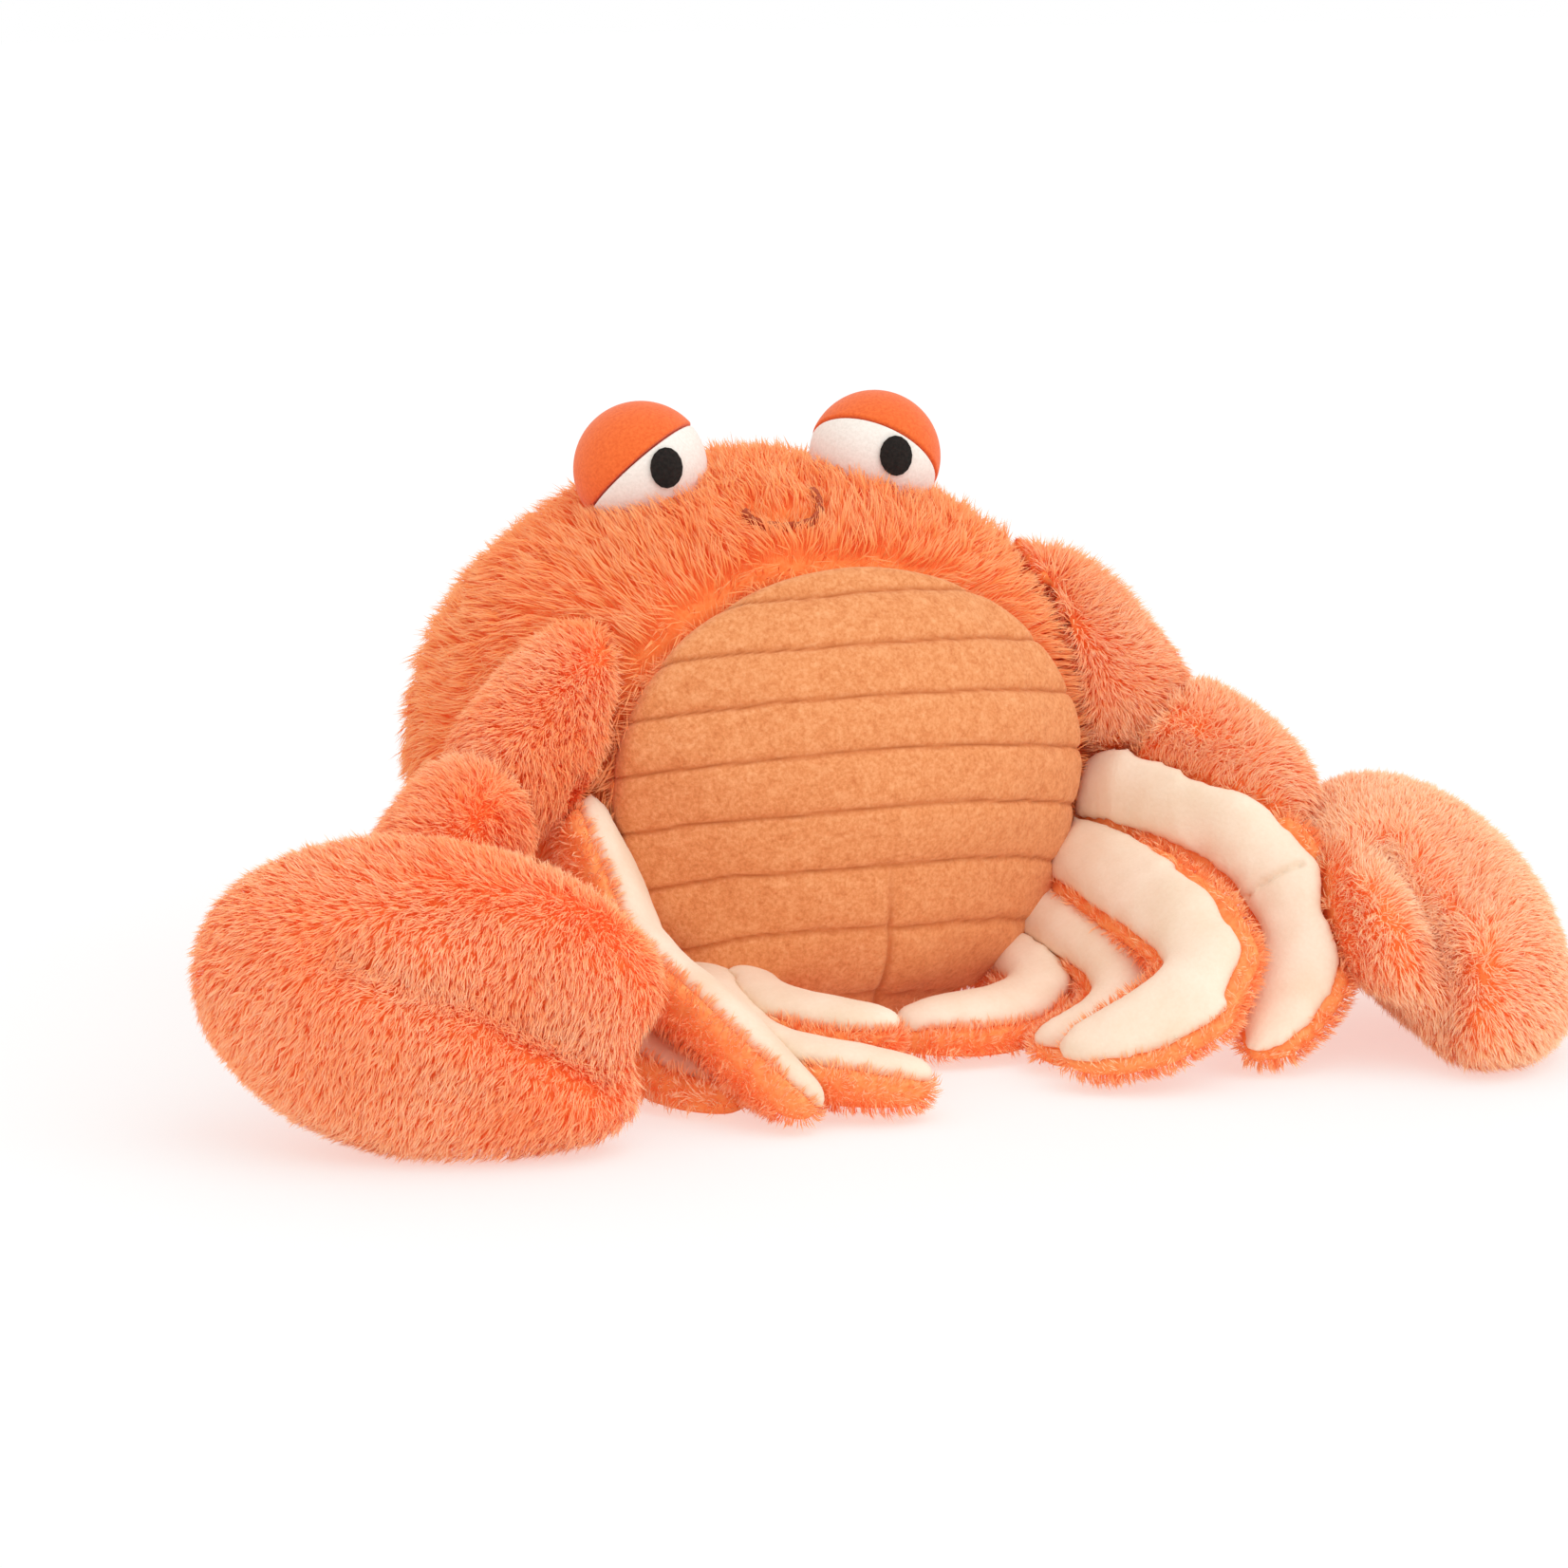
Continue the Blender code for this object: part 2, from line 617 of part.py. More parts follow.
# Legs
def along_path(stations, count):
    """Steps along a smooth line through the stations, closer towards the tip."""
    places = [body_place(*station[:3]) for station in stations]
    facings = [Vector(station[3]).normalized() for station in stations]
    places = [places[0] * 2 - places[1]] + places + [places[-1] * 2 - places[-2]]
    facings = [facings[0]] + facings + [facings[-1]]
    fine = []
    for index in range(1, len(places) - 2):
        for part in range(12):
            t = part / 12
            fine.append((curve_value(places, index, t), curve_value(facings, index, t)))
    fine.append((places[-2], facings[-2]))
    lengths = [0.0]
    for (before, _), (after, _) in zip(fine, fine[1:]):
        lengths.append(lengths[-1] + (after - before).length)
    result = []
    for step in range(count):
        left = 1 - step / (count - 1)
        goal = lengths[-1] * (1 - left ** 1.35)
        index = max(i for i, length in enumerate(lengths) if length <= goal + 1e-12)
        index = min(index, len(fine) - 2)
        span = lengths[index + 1] - lengths[index]
        share = (goal - lengths[index]) / span
        point = fine[index][0].lerp(fine[index + 1][0], share)
        facing = fine[index][1].lerp(fine[index + 1][1], share).normalized()
        tangent = (fine[index + 1][0] - fine[index][0]).normalized()
        result.append((point, facing, tangent, goal / lengths[-1]))
    return result


def curve_value(values, index, t):
    """A smooth line drawn near its stations, without sharp bends."""
    before, here, after, beyond = values[index - 1:index + 3]
    return (before * (1 - t) ** 3 + here * (3 * t ** 3 - 6 * t ** 2 + 4)
            + after * (-3 * t ** 3 + 3 * t ** 2 + 3 * t + 1) + beyond * t ** 3) / 6


def leg_width_share(share):
    """Width along the leg: narrower at the root, rounded off at the tip."""
    if share < 0.35:
        return 0.88 + 0.12 * share / 0.35
    if share < 0.68:
        return 1.0
    rest = (share - 0.68) / 0.32
    return 0.16 + 0.84 * math.sqrt(max(1 - rest ** 2, 0.0))


def leg_half(stations, width, thickness, turned, seam_shares):
    """One half of a leg: flat on the side of its seam, rounded on the other."""
    mesh_data = bmesh.new()
    flats = []
    domes = []
    path = along_path(stations, LEG_STATIONS)
    for point, facing, tangent, share in path:
        outward = (facing - tangent * facing.dot(tangent)).normalized()
        beside = tangent.cross(outward)
        half = width / 2 * leg_width_share(share)
        depth = thickness * (0.30 + 0.70 * leg_width_share(share))
        base = point + outward * turned * GAP / 2
        flat = [mesh_data.verts.new(base + beside * half * place) for place in seam_shares]
        dome = []
        for corner in range(1, 8):
            turn = math.pi * corner / 8
            offset = beside * -half * math.cos(turn)
            offset += outward * turned * depth * math.sin(turn) ** 0.8
            dome.append(mesh_data.verts.new(base + offset))
        flats.append(flat)
        domes.append([flat[0]] + dome + [flat[-1]])
    for before, after in zip(flats, flats[1:]):
        for index in range(len(before) - 1):
            mesh_data.faces.new((before[index], before[index + 1], after[index + 1]))
            mesh_data.faces.new((before[index], after[index + 1], after[index]))
    for before, after in zip(domes, domes[1:]):
        for index in range(len(before) - 1):
            mesh_data.faces.new((before[index], before[index + 1], after[index + 1],
                                 after[index]))
    for flat, dome in ((flats[0], domes[0]), (flats[-1], domes[-1])):
        mesh_data.faces.new(dome + flat[-2:0:-1])
    return mesh_data


leg_nodes = []
for leg_name, leg_stations in LEG_PATHS.items():
    rim = LEG_FRONT_WIDTH_SHARE
    leg_width = LEG_WIDTH * LEG_SIZES.get(leg_name, 1.0)
    back = make_node(f"leg_{leg_name}_back",
                     leg_half(leg_stations, leg_width, LEG_THICKNESS * (1 - LEG_FRONT_SHARE),
                              -1, (-1, -rim, 0, rim, 1)), "fur")
    front = make_node(f"leg_{leg_name}_front",
                      leg_half(leg_stations, leg_width * rim, LEG_THICKNESS * LEG_FRONT_SHARE,
                               1, (-1, 0, 1)), "cream", 0.8)
    leg_nodes += [back, front]

for leg_node in leg_nodes:
    if min(vertex.co.z for vertex in leg_node.data.vertices) < FLOOR_LIFT:
        cut_mesh = bmesh.new()
        cut_mesh.from_mesh(leg_node.data)
        keep_above(cut_mesh, FLOOR_LIFT)
        cut_mesh.to_mesh(leg_node.data)
        cut_mesh.free()

finished = [belly_panel, body]
for node in limbs + leg_nodes:
    seam_mate = node.name.replace("_front", "_back")
    make_room(node, [done for done in finished if done.name != seam_mate])
    finished.append(node)

for mesh in whole_shapes.values():
    bpy.data.meshes.remove(mesh)
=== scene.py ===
# %% [markdown]
# # A plush crab
# This lesson dresses a finished CAD model of a plush crab. The CAD model gives the size and the
# place of every stuffed part, so each step below starts from one of its nodes, and adds what
# makes a soft toy look soft: pile, seams, creases and fabric. First the model is loaded.

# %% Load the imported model
import json
import math
import bmesh
import bpy
import numpy as np
from mathutils import Matrix, Vector
from mathutils.bvhtree import BVHTree
from mathutils.kdtree import KDTree

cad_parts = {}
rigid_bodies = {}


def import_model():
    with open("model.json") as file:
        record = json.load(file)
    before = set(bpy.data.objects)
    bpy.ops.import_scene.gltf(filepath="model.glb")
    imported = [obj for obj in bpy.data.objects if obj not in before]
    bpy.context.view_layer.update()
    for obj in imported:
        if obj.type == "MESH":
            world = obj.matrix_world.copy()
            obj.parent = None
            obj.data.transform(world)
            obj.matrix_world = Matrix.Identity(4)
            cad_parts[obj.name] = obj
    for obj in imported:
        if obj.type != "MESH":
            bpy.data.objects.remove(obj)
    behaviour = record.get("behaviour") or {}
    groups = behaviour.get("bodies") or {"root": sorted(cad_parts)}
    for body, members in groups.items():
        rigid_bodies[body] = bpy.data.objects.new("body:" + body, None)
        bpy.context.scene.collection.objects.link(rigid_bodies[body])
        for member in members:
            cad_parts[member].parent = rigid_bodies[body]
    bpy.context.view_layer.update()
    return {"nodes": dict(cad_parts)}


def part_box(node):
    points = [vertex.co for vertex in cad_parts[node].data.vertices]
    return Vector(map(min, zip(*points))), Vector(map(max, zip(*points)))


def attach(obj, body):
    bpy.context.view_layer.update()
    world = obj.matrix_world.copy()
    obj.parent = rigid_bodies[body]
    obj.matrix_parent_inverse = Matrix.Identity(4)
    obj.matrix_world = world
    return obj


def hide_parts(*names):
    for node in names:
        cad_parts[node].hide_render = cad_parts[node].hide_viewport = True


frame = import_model()
nodes = frame["nodes"]

# %% [markdown]
# ## Camera
# The photograph was taken from a little above and from the crab's right-hand side. A camera can
# be aimed by eye, or by a Track To constraint. Here it is set from the angles that line the
# model up with the photograph, because then every later piece can be compared with it.

# %% Camera
AZIMUTH = math.radians(-21)
ELEVATION = math.radians(12)
LENS = 103.0156
SENSOR = 36.0
camera_back = Vector((math.sin(AZIMUTH) * math.cos(ELEVATION),
                      -math.cos(AZIMUTH) * math.cos(ELEVATION), math.sin(ELEVATION)))
camera_data = bpy.data.cameras.new("camera")
camera_data.lens = LENS
camera_data.sensor_width = SENSOR
camera_data.clip_start = 0.01
camera = bpy.data.objects.new("camera", camera_data)
camera.location = (-0.448, -1.1932, 0.3326)
camera.rotation_euler = camera_back.to_track_quat("Z", "Y").to_euler()
bpy.context.collection.objects.link(camera)
bpy.context.scene.camera = camera
print("camera at", tuple(camera.location))

# %% [markdown]
# ## Materials, in two helpers
# A colour picked from a photograph is an sRGB value, and the shader works on linear light, so
# one function turns a hex colour into linear numbers. The other adds a node with its settings
# and its links in one call, which keeps each material short enough to read.

# %% Colour and node helpers
def linear(hex_colour):
    """An sRGB hex colour as linear red, green, blue and alpha."""
    values = [int(hex_colour[i:i + 2], 16) / 255 for i in (1, 3, 5)]
    return [v / 12.92 if v <= 0.04045 else ((v + 0.055) / 1.055) ** 2.4 for v in values] + [1.0]


def add_node(material, kind, settings=(), inputs=(), links=()):
    """Add one node: settings are its own values, inputs its sockets, links what feeds them."""
    tree = material.node_tree
    node = tree.nodes.new("ShaderNode" + kind)
    for name, value in dict(settings).items():
        setattr(node, name, value)
    for name, value in dict(inputs).items():
        node.inputs[name].default_value = value
    for name, source in dict(links).items():
        tree.links.new(source, node.inputs[name])
    return node


def new_material(name, roughness, sheen=0.0, sheen_roughness=0.5, sheen_tint="#ffffff", specular=0.3):
    """A material with a Principled shader whose constants are set on its own sockets."""
    material = bpy.data.materials.new(name)
    material.use_nodes = True
    shader = material.node_tree.nodes["Principled BSDF"]
    shader.inputs["Roughness"].default_value = roughness
    shader.inputs["Specular IOR Level"].default_value = specular
    shader.inputs["Sheen Weight"].default_value = sheen
    shader.inputs["Sheen Roughness"].default_value = sheen_roughness
    shader.inputs["Sheen Tint"].default_value = linear(sheen_tint)
    return material, shader


def ramp_node(material, source, stops):
    """A colour ramp from (place, hex colour) stops."""
    node = add_node(material, "ValToRGB", links={"Fac": source})
    elements = node.color_ramp.elements
    while len(elements) < len(stops):
        elements.new(0.5)
    for element, (place, colour) in zip(elements, stops):
        element.position = place
        element.color = linear(colour)
    return node


print("white is", linear("#ffffff"))

# %% [markdown]
# ## Floor, backdrop and light
# The toy stands on a white board under one big soft lamp, in a white room. A white floor could
# be lit until it clips, but then the toy would be too bright as well. So the floor is white to
# the camera through Light Path, with a diffuse part that keeps the soft shadow.

# %% Floor
FLOOR_HALF = 6.0

floor_mesh = bmesh.new()
bmesh.ops.create_grid(floor_mesh, x_segments=8, y_segments=8, size=FLOOR_HALF)
floor_data = bpy.data.meshes.new("floor")
floor_mesh.to_mesh(floor_data)
floor_mesh.free()
floor = bpy.data.objects.new("floor", floor_data)
bpy.context.collection.objects.link(floor)

# %% Floor paint
# Matt white paint rolled on a board: it has no shine, so only the toy's soft shadow shows on it.
# To the toy it is a white board with a faint glow, painted light that lifts the toy's lower side.
# To the camera it is a diffuse part and a glow that make white together, and where the toy shades
# the floor, the warmer colour of the glow is left: a painted warm tint in the shadow, for light
# thrown back by the orange pile.
floor_paint, floor_shader = new_material("White board, matt, with painted glow and shadow tint", roughness=0.9, specular=0.0)
floor_shader.inputs["Base Color"].default_value = linear("#f0eeec")
floor_shader.inputs["Emission Color"].default_value = linear("#fff4ec")
floor_shader.inputs["Emission Strength"].default_value = 0.16
ray = add_node(floor_paint, "LightPath")
seen = add_node(floor_paint, "Math", {"operation": "MAXIMUM"},
                links={0: ray.outputs["Is Camera Ray"], 1: ray.outputs["Is Glossy Ray"]})
seen_at_all = add_node(floor_paint, "Math", {"operation": "MAXIMUM"},
                       links={0: seen.outputs[0], 1: ray.outputs["Is Transmission Ray"]})
shaded = add_node(floor_paint, "BsdfDiffuse", inputs={"Color": (0.12, 0.42, 0.47, 1.0)})
glow = add_node(floor_paint, "Emission", inputs={"Color": (0.87, 0.545, 0.495, 1.0)})
both = add_node(floor_paint, "AddShader", links={0: shaded.outputs[0], 1: glow.outputs[0]})
choice = add_node(floor_paint, "MixShader", links={0: seen_at_all.outputs[0], 1: floor_shader.outputs[0],
                                                   2: both.outputs[0]})
floor_paint.node_tree.links.new(choice.outputs[0],
                                floor_paint.node_tree.nodes["Material Output"].inputs["Surface"])
floor_data.materials.append(floor_paint)
print("floor:", 2 * FLOOR_HALF, "m wide,", floor_paint.name)

# %% World and lamps
world = bpy.data.worlds.new("white studio")
bpy.context.scene.world = world
world.use_nodes = True
sky = world.node_tree.nodes["Background"]
sky.inputs["Color"].default_value = (1.0, 0.98, 0.96, 1.0)
sky.inputs["Strength"].default_value = 0.98


class WorldNodes:
    """Lets add_node work on the world's tree."""
    node_tree = world.node_tree


world_ray = add_node(WorldNodes, "LightPath")
white_seen = add_node(WorldNodes, "Background", inputs={"Color": (1, 1, 1, 1), "Strength": 1.0})
pick_sky = add_node(WorldNodes, "MixShader", links={0: world_ray.outputs["Is Camera Ray"],
                                                    1: sky.outputs[0], 2: white_seen.outputs[0]})
world.node_tree.links.new(pick_sky.outputs[0], world.node_tree.nodes["World Output"].inputs["Surface"])


def soft_sun(name, place, spread, strength):
    """A distant lamp as wide as a big soft box: it lights the toy and the whole floor evenly."""
    data = bpy.data.lights.new(name, "SUN")
    data.angle = math.radians(spread)
    data.energy = strength
    lamp = bpy.data.objects.new(name, data)
    lamp.location = place
    lamp.rotation_euler = Vector(place).to_track_quat("Z", "Y").to_euler()
    bpy.context.collection.objects.link(lamp)
    return lamp


soft_sun("key light, right and above", (0.40, -0.60, 1.0), spread=60, strength=0.80)
bpy.context.scene.view_settings.view_transform = "Standard"
# Light bounces many times between pale fibres before it comes out, so a few bounces turn them brown.
bpy.context.scene.cycles.diffuse_bounces = 12

# %% [markdown]
# ## Skins
# Under its pile, each part is a sewn fabric bag full of stuffing. The CAD nodes have the right
# places, but coarse facets. A subdivision would keep their cut edges sharp, so each skin is a
# copy whose doubles are merged, remeshed into even small squares, and smoothed, which rounds
# the facets off as stuffing does. It is then drawn in a little, to leave room for the pile.

# %% Skin helpers
def link_mesh(name, mesh):
    """An object of the scene that shows this mesh."""
    piece = bpy.data.objects.new(name, mesh)
    bpy.context.collection.objects.link(piece)
    return piece


def link_bmesh(name, mesh_data):
    """An object of the scene from finished bmesh data."""
    mesh = bpy.data.meshes.new(name)
    mesh_data.to_mesh(mesh)
    mesh_data.free()
    return link_mesh(name, mesh)


def settled(piece):
    """Apply the piece's modifiers."""
    graph = bpy.context.evaluated_depsgraph_get()
    mesh = bpy.data.meshes.new_from_object(piece.evaluated_get(graph), depsgraph=graph)
    piece.modifiers.clear()
    old = piece.data
    piece.data = mesh
    bpy.data.meshes.remove(old)
    mesh.name = piece.name
    return piece


def merged_copy(name, node_name):
    """A copy of a CAD node with its doubled points merged."""
    mesh_data = bmesh.new()
    mesh_data.from_mesh(nodes[node_name].data)
    bmesh.ops.remove_doubles(mesh_data, verts=mesh_data.verts, dist=0.00001)
    return link_bmesh(name, mesh_data)


def smooth_once(mesh_data, verts, factor):
    """Move vertices towards the middle of their neighbours, by this share of the way."""
    bmesh.ops.smooth_vert(mesh_data, verts=verts, factor=factor,
                          use_axis_x=True, use_axis_y=True, use_axis_z=True)


def smooth_and_draw_in(piece, rounds, amount):
    """Smooth the skin, then move it inwards along its normals."""
    mesh_data = bmesh.new()
    mesh_data.from_mesh(piece.data)
    for _ in range(rounds):
        smooth_once(mesh_data, mesh_data.verts, 0.5)
    mesh_data.normal_update()
    moves = [vertex.normal * -amount for vertex in mesh_data.verts]
    for vertex, move in zip(mesh_data.verts, moves):
        vertex.co += move
    mesh_data.to_mesh(piece.data)
    mesh_data.free()
    piece.data.shade_smooth()


print("solids to dress:", len(nodes))


# %% One skin
def skin_of(node_name, name, voxel, rounds, amount):
    """A smooth stuffed bag in the place of one CAD node."""
    piece = merged_copy(name, node_name)
    remesh = piece.modifiers.new("even squares", "REMESH")
    remesh.mode = "VOXEL"
    remesh.voxel_size = voxel
    settled(piece)
    smooth_and_draw_in(piece, rounds, amount)
    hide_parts(node_name)
    return piece


def finish_piece(piece, material):
    """Give the piece its material, carry it on the body, and print its triangles."""
    piece.data.materials.clear()
    piece.data.materials.append(material)
    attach(piece, "root")
    print(piece.name, "triangles:", sum(len(p.vertices) - 2 for p in piece.data.polygons))


print("each skin rides on the body, root")

# %% [markdown]
# ## Pile
# Faux fur is knitted with long fine fibres that stand out of the cloth. Blender's hair would
# look right but isn't a mesh, and a bump map stays flat at the edges, where the real toy is
# fringed with tufts. So each strand is a thin leaf of two triangles: its root is hidden in the
# skin, it is widest near its middle, and it bends over towards its tip. One map carries the
# colour: its first axis is the strand's own tone, its second runs from the root to the tip.

# %% Random fields
def soft_noise(points, size, seed):
    """Smooth random values around zero that change over about this many metres."""
    chance = np.random.default_rng(seed)
    waves = chance.normal(size=(12, 3))
    waves /= np.linalg.norm(waves, axis=1)[:, None]
    waves *= chance.uniform(0.6, 1.5, (12, 1)) * math.pi / size
    phases = chance.uniform(0, 2 * math.pi, 12)
    return np.sin(points @ waves.T + phases).sum(axis=1) / 12 ** 0.5


def fade(far, reach):
    """One at no distance, and almost nothing at twice the reach."""
    return np.exp(-(far / reach) ** 2)


def unit(vectors):
    """Each vector made one unit long."""
    return vectors / np.maximum(np.linalg.norm(vectors, axis=1), 1e-9)[:, None]


print("soft noise at one point:", soft_noise(np.zeros((1, 3)), 0.02, 1))


# %% Spots on a skin
def vertex_values(mesh, kind):
    """The places (co) or the normals (normal) of a mesh's vertices."""
    values = np.empty(len(mesh.vertices) * 3)
    mesh.vertices.foreach_get(kind, values)
    return values.reshape(-1, 3)


def spots_on(piece, count, seed):
    """Random points spread evenly over a skin, with its smooth normal at each."""
    mesh = piece.data
    mesh.calc_loop_triangles()
    places, normals = vertex_values(mesh, "co"), vertex_values(mesh, "normal")
    corners = np.empty(len(mesh.loop_triangles) * 3, dtype=np.int32)
    mesh.loop_triangles.foreach_get("vertices", corners)
    corners = corners.reshape(-1, 3)
    a, b, c = (places[corners[:, i]] for i in range(3))
    areas = np.linalg.norm(np.cross(b - a, c - a), axis=1) / 2
    chance = np.random.default_rng(seed)
    chosen = chance.choice(len(areas), size=count, p=areas / areas.sum())
    u, v = chance.random(count), chance.random(count)
    fold = u + v > 1
    u[fold], v[fold] = 1 - u[fold], 1 - v[fold]
    shares = np.stack([1 - u - v, u, v], axis=1)[:, :, None]
    picked = corners[chosen]
    return (places[picked] * shares).sum(axis=1), unit((normals[picked] * shares).sum(axis=1))


print("spots are chosen by area, so the pile is as dense on a bulge as on a flat")

# %% [markdown]
# Real fibres cling together in tufts, which shows more than any single fibre does. Blender's
# own clumping belongs to its hair. Here a few strands are picked as leaders, each strand joins
# its nearest leader, and the tips of a tuft are drawn towards the leader's tip.

# %% Strands
ROOT_DEPTH = 0.0008
FLOOR_GAP = 0.0003
LOWER_BEND = 0.60
UPPER_BEND = 1.42


def nearest_of(points, centres):
    """For each point, the number of the nearest centre."""
    tree = KDTree(len(centres))
    for index, centre in enumerate(centres):
        tree.insert(centre, index)
    tree.balance()
    return np.array([tree.find(point)[1] for point in points])


def across_skin(vectors, normals):
    """The part of each vector that lies along the skin."""
    return vectors - normals * (vectors * normals).sum(axis=1)[:, None]


def grow_pile(name, roots, normals, comb, length, lean, width, tuft, gather, seed, tone=0.0, messy=0.22):
    """A mesh of strands. comb is the way that they lie, lean how far over in radians, tuft how
    many strands stand together and gather how closely their tips meet."""
    chance = np.random.default_rng(seed)
    count = len(roots)
    centres = chance.choice(count, size=max(count // tuft, 8), replace=False)
    group = nearest_of(roots, roots[centres])
    # Tufts differ in their way, lean and tone, and the strands of a tuft in length and way.
    tuft_turn = (chance.normal(size=(len(centres), 3)) * messy)[group]
    tuft_lean = (chance.normal(size=len(centres)) * 0.10)[group]
    tuft_tone = (chance.normal(size=len(centres)) * 0.07)[group]
    length = length * chance.uniform(0.70, 1.20, count)
    own_turn = chance.normal(size=(count, 3)) * 0.22
    # Where the comb stands nearly upright it has no clear way along the skin, and stays weak.
    lying = across_skin(comb, normals)
    lying /= np.maximum(np.linalg.norm(lying, axis=1), 0.6)[:, None]
    comb = unit(across_skin(lying + tuft_turn + own_turn, normals))
    first = (lean * LOWER_BEND + tuft_lean + chance.normal(size=count) * 0.12)[:, None]
    second = (lean * UPPER_BEND + tuft_lean + chance.normal(size=count) * 0.20)[:, None]
    middle = roots + (normals * np.cos(first) + comb * np.sin(first)) * (length * 0.5)[:, None]
    tip = middle + (normals * np.cos(second) + comb * np.sin(second)) * (length * 0.5)[:, None]
    # The tips of a tuft are drawn to its leader's tip, and the middles follow less far.
    leader = centres[group]
    pull = (gather * chance.uniform(0.5, 1.2, count))[:, None]
    tip += (tip[leader] - tip) * pull
    middle += (middle[leader] - middle) * pull * 0.4
    start = roots - normals * ROOT_DEPTH

    # The leaf lies across the strand, and each one is rolled a little.
    way = unit(tip - start)
    across = unit(np.cross(way, normals))
    beside = np.cross(across, way)
    roll = chance.normal(size=count)[:, None] * 0.4
    across = across * np.cos(roll) + beside * np.sin(roll)
    half = (width / 2 * chance.uniform(0.7, 1.3, count))[:, None]
    points = np.stack([start, middle + across * half, middle - across * half, tip], axis=1)
    points[:, :, 2] = np.maximum(points[:, :, 2], FLOOR_GAP)
    tones = 0.5 + tone + 0.12 * soft_noise(roots, 0.020, seed + 5) + tuft_tone
    tones += 0.08 * chance.normal(size=count)
    return strands_mesh(name, points, np.clip(tones, 0.02, 0.96))


print("a strand bends over from", LOWER_BEND, "to", UPPER_BEND, "times its lean")


# %% Strands as a mesh
def strands_mesh(name, points, tones):
    """Two triangles a strand, with the map OFBake that the pile's colours read."""
    count = len(points)
    mesh = bpy.data.meshes.new(name)
    mesh.vertices.add(count * 4)
    mesh.vertices.foreach_set("co", points.reshape(-1))
    first = np.arange(count) * 4
    corners = np.stack([first, first + 1, first + 2, first + 2, first + 1, first + 3], axis=1)
    mesh.loops.add(count * 6)
    mesh.loops.foreach_set("vertex_index", corners.reshape(-1).astype(np.int32))
    mesh.polygons.add(count * 2)
    mesh.polygons.foreach_set("loop_start", (np.arange(count * 2) * 3).astype(np.int32))
    mesh.update(calc_edges=True)
    layer = mesh.uv_layers.new(name="OFBake")
    place = np.zeros((count, 6, 2))
    place[:, :, 0] = tones[:, None]
    place[:, [0, 5], 0] += 0.01
    place[:, [1, 4], 0] += 0.02
    place[:, [1, 2, 3, 4], 1] = 0.5
    place[:, 0, 1] = 0.01
    place[:, 5, 1] = 0.99
    layer.uv.foreach_set("vector", place.reshape(-1))
    mesh.shade_smooth()
    return link_mesh(name, mesh)


print("a strand has 2 triangles")

# %% [markdown]
# The pile's colour gets lighter from root to tip: the darker roots are painted shade, because
# little light reaches them, and the tips are paler. Two ramps, one for a dark strand and one for a
# light one, are mixed by the strand's tone, so no two neighbours are quite the same.

# %% Pile materials
def pile_material(name, dark_stops, light_stops):
    """Fibres whose colour runs from root to tip, between a dark and a light ramp."""
    material, shader = new_material(name, roughness=0.8, sheen=0.06, sheen_roughness=0.45,
                                    sheen_tint="#ffc9a8", specular=0.12)
    map_node = add_node(material, "UVMap", {"uv_map": "OFBake"})
    split = add_node(material, "SeparateXYZ", links={0: map_node.outputs["UV"]})
    dark = ramp_node(material, split.outputs["Y"], dark_stops)
    light = ramp_node(material, split.outputs["Y"], light_stops)
    mix = add_node(material, "Mix", {"data_type": "RGBA"}, links={0: split.outputs["X"],
                                                                 6: dark.outputs[0], 7: light.outputs[0]})
    material.node_tree.links.new(mix.outputs[2], shader.inputs["Base Color"])
    return material


print("a pile's colour is read from the map OFBake")


# %% Cloth
def grain(material, size, detail, uneven=0.5):
    """Noise with grains of this size in metres, fixed to the piece."""
    coordinates = add_node(material, "TexCoord")
    noise = add_node(material, "TexNoise", inputs={"Scale": 1 / size, "Detail": detail, "Roughness": uneven},
                     links={"Vector": coordinates.outputs["Object"]})
    return noise.outputs["Fac"]


def feed(material, shader, colour, height, strength, depth):
    """Feed the shader a colour, and a fine bump made from a height."""
    relief = add_node(material, "Bump", inputs={"Strength": strength, "Distance": depth},
                      links={"Height": height})
    material.node_tree.links.new(colour, shader.inputs["Base Color"])
    material.node_tree.links.new(relief.outputs[0], shader.inputs["Normal"])


def cloth_material(name, dark, light, size=0.0009, roughness=0.88, tint="#ffffff", specular=0.15,
                   detail=4.0, uneven=0.6, strength=0.4, depth=0.0003):
    """Dyed cloth: a grain that mottles the colour a little, and stands out as a fine bump."""
    material, shader = new_material(name, roughness, sheen=0.2, sheen_tint=tint, specular=specular)
    grains = grain(material, size, detail, uneven)
    colours = ramp_node(material, grains, [(0.35, dark), (0.65, light)])
    feed(material, shader, colours.outputs[0], grains, strength, depth)
    return material


KNIT = {"size": 0.0015, "roughness": 0.95, "tint": "#ffb08a", "specular": 0.1,
        "detail": 3.0, "uneven": 0.5, "strength": 0.6, "depth": 0.0006}

# Long brushed polyester pile: glossy fibres in tufts, deep orange towards the roots, which is
# painted shade between the tufts, and paler tips.
long_pile = pile_material("Long polyester pile, brushed",
                          [(0.0, "#fa7c3e"), (0.5, "#fa914f"), (1.0, "#faaa70")],
                          [(0.0, "#fa8e4e"), (0.5, "#faa868"), (1.0, "#fbc99a")])
# Dense short polyester pile, sheared: softer and paler, because more of the tips show, and darker
# towards the roots, which is painted shade.
short_pile = pile_material("Short polyester pile, sheared",
                           [(0.0, "#ff8644"), (0.5, "#ff9a57"), (1.0, "#ffb278")],
                           [(0.0, "#ffa868"), (0.5, "#ffc894"), (1.0, "#ffe6c8")])
# The knit that the pile is fixed in: rough and even, and seen only where the pile parts.
backing = cloth_material("Knitted polyester backing, dyed", "#fc8845", "#fc9a58", **KNIT)
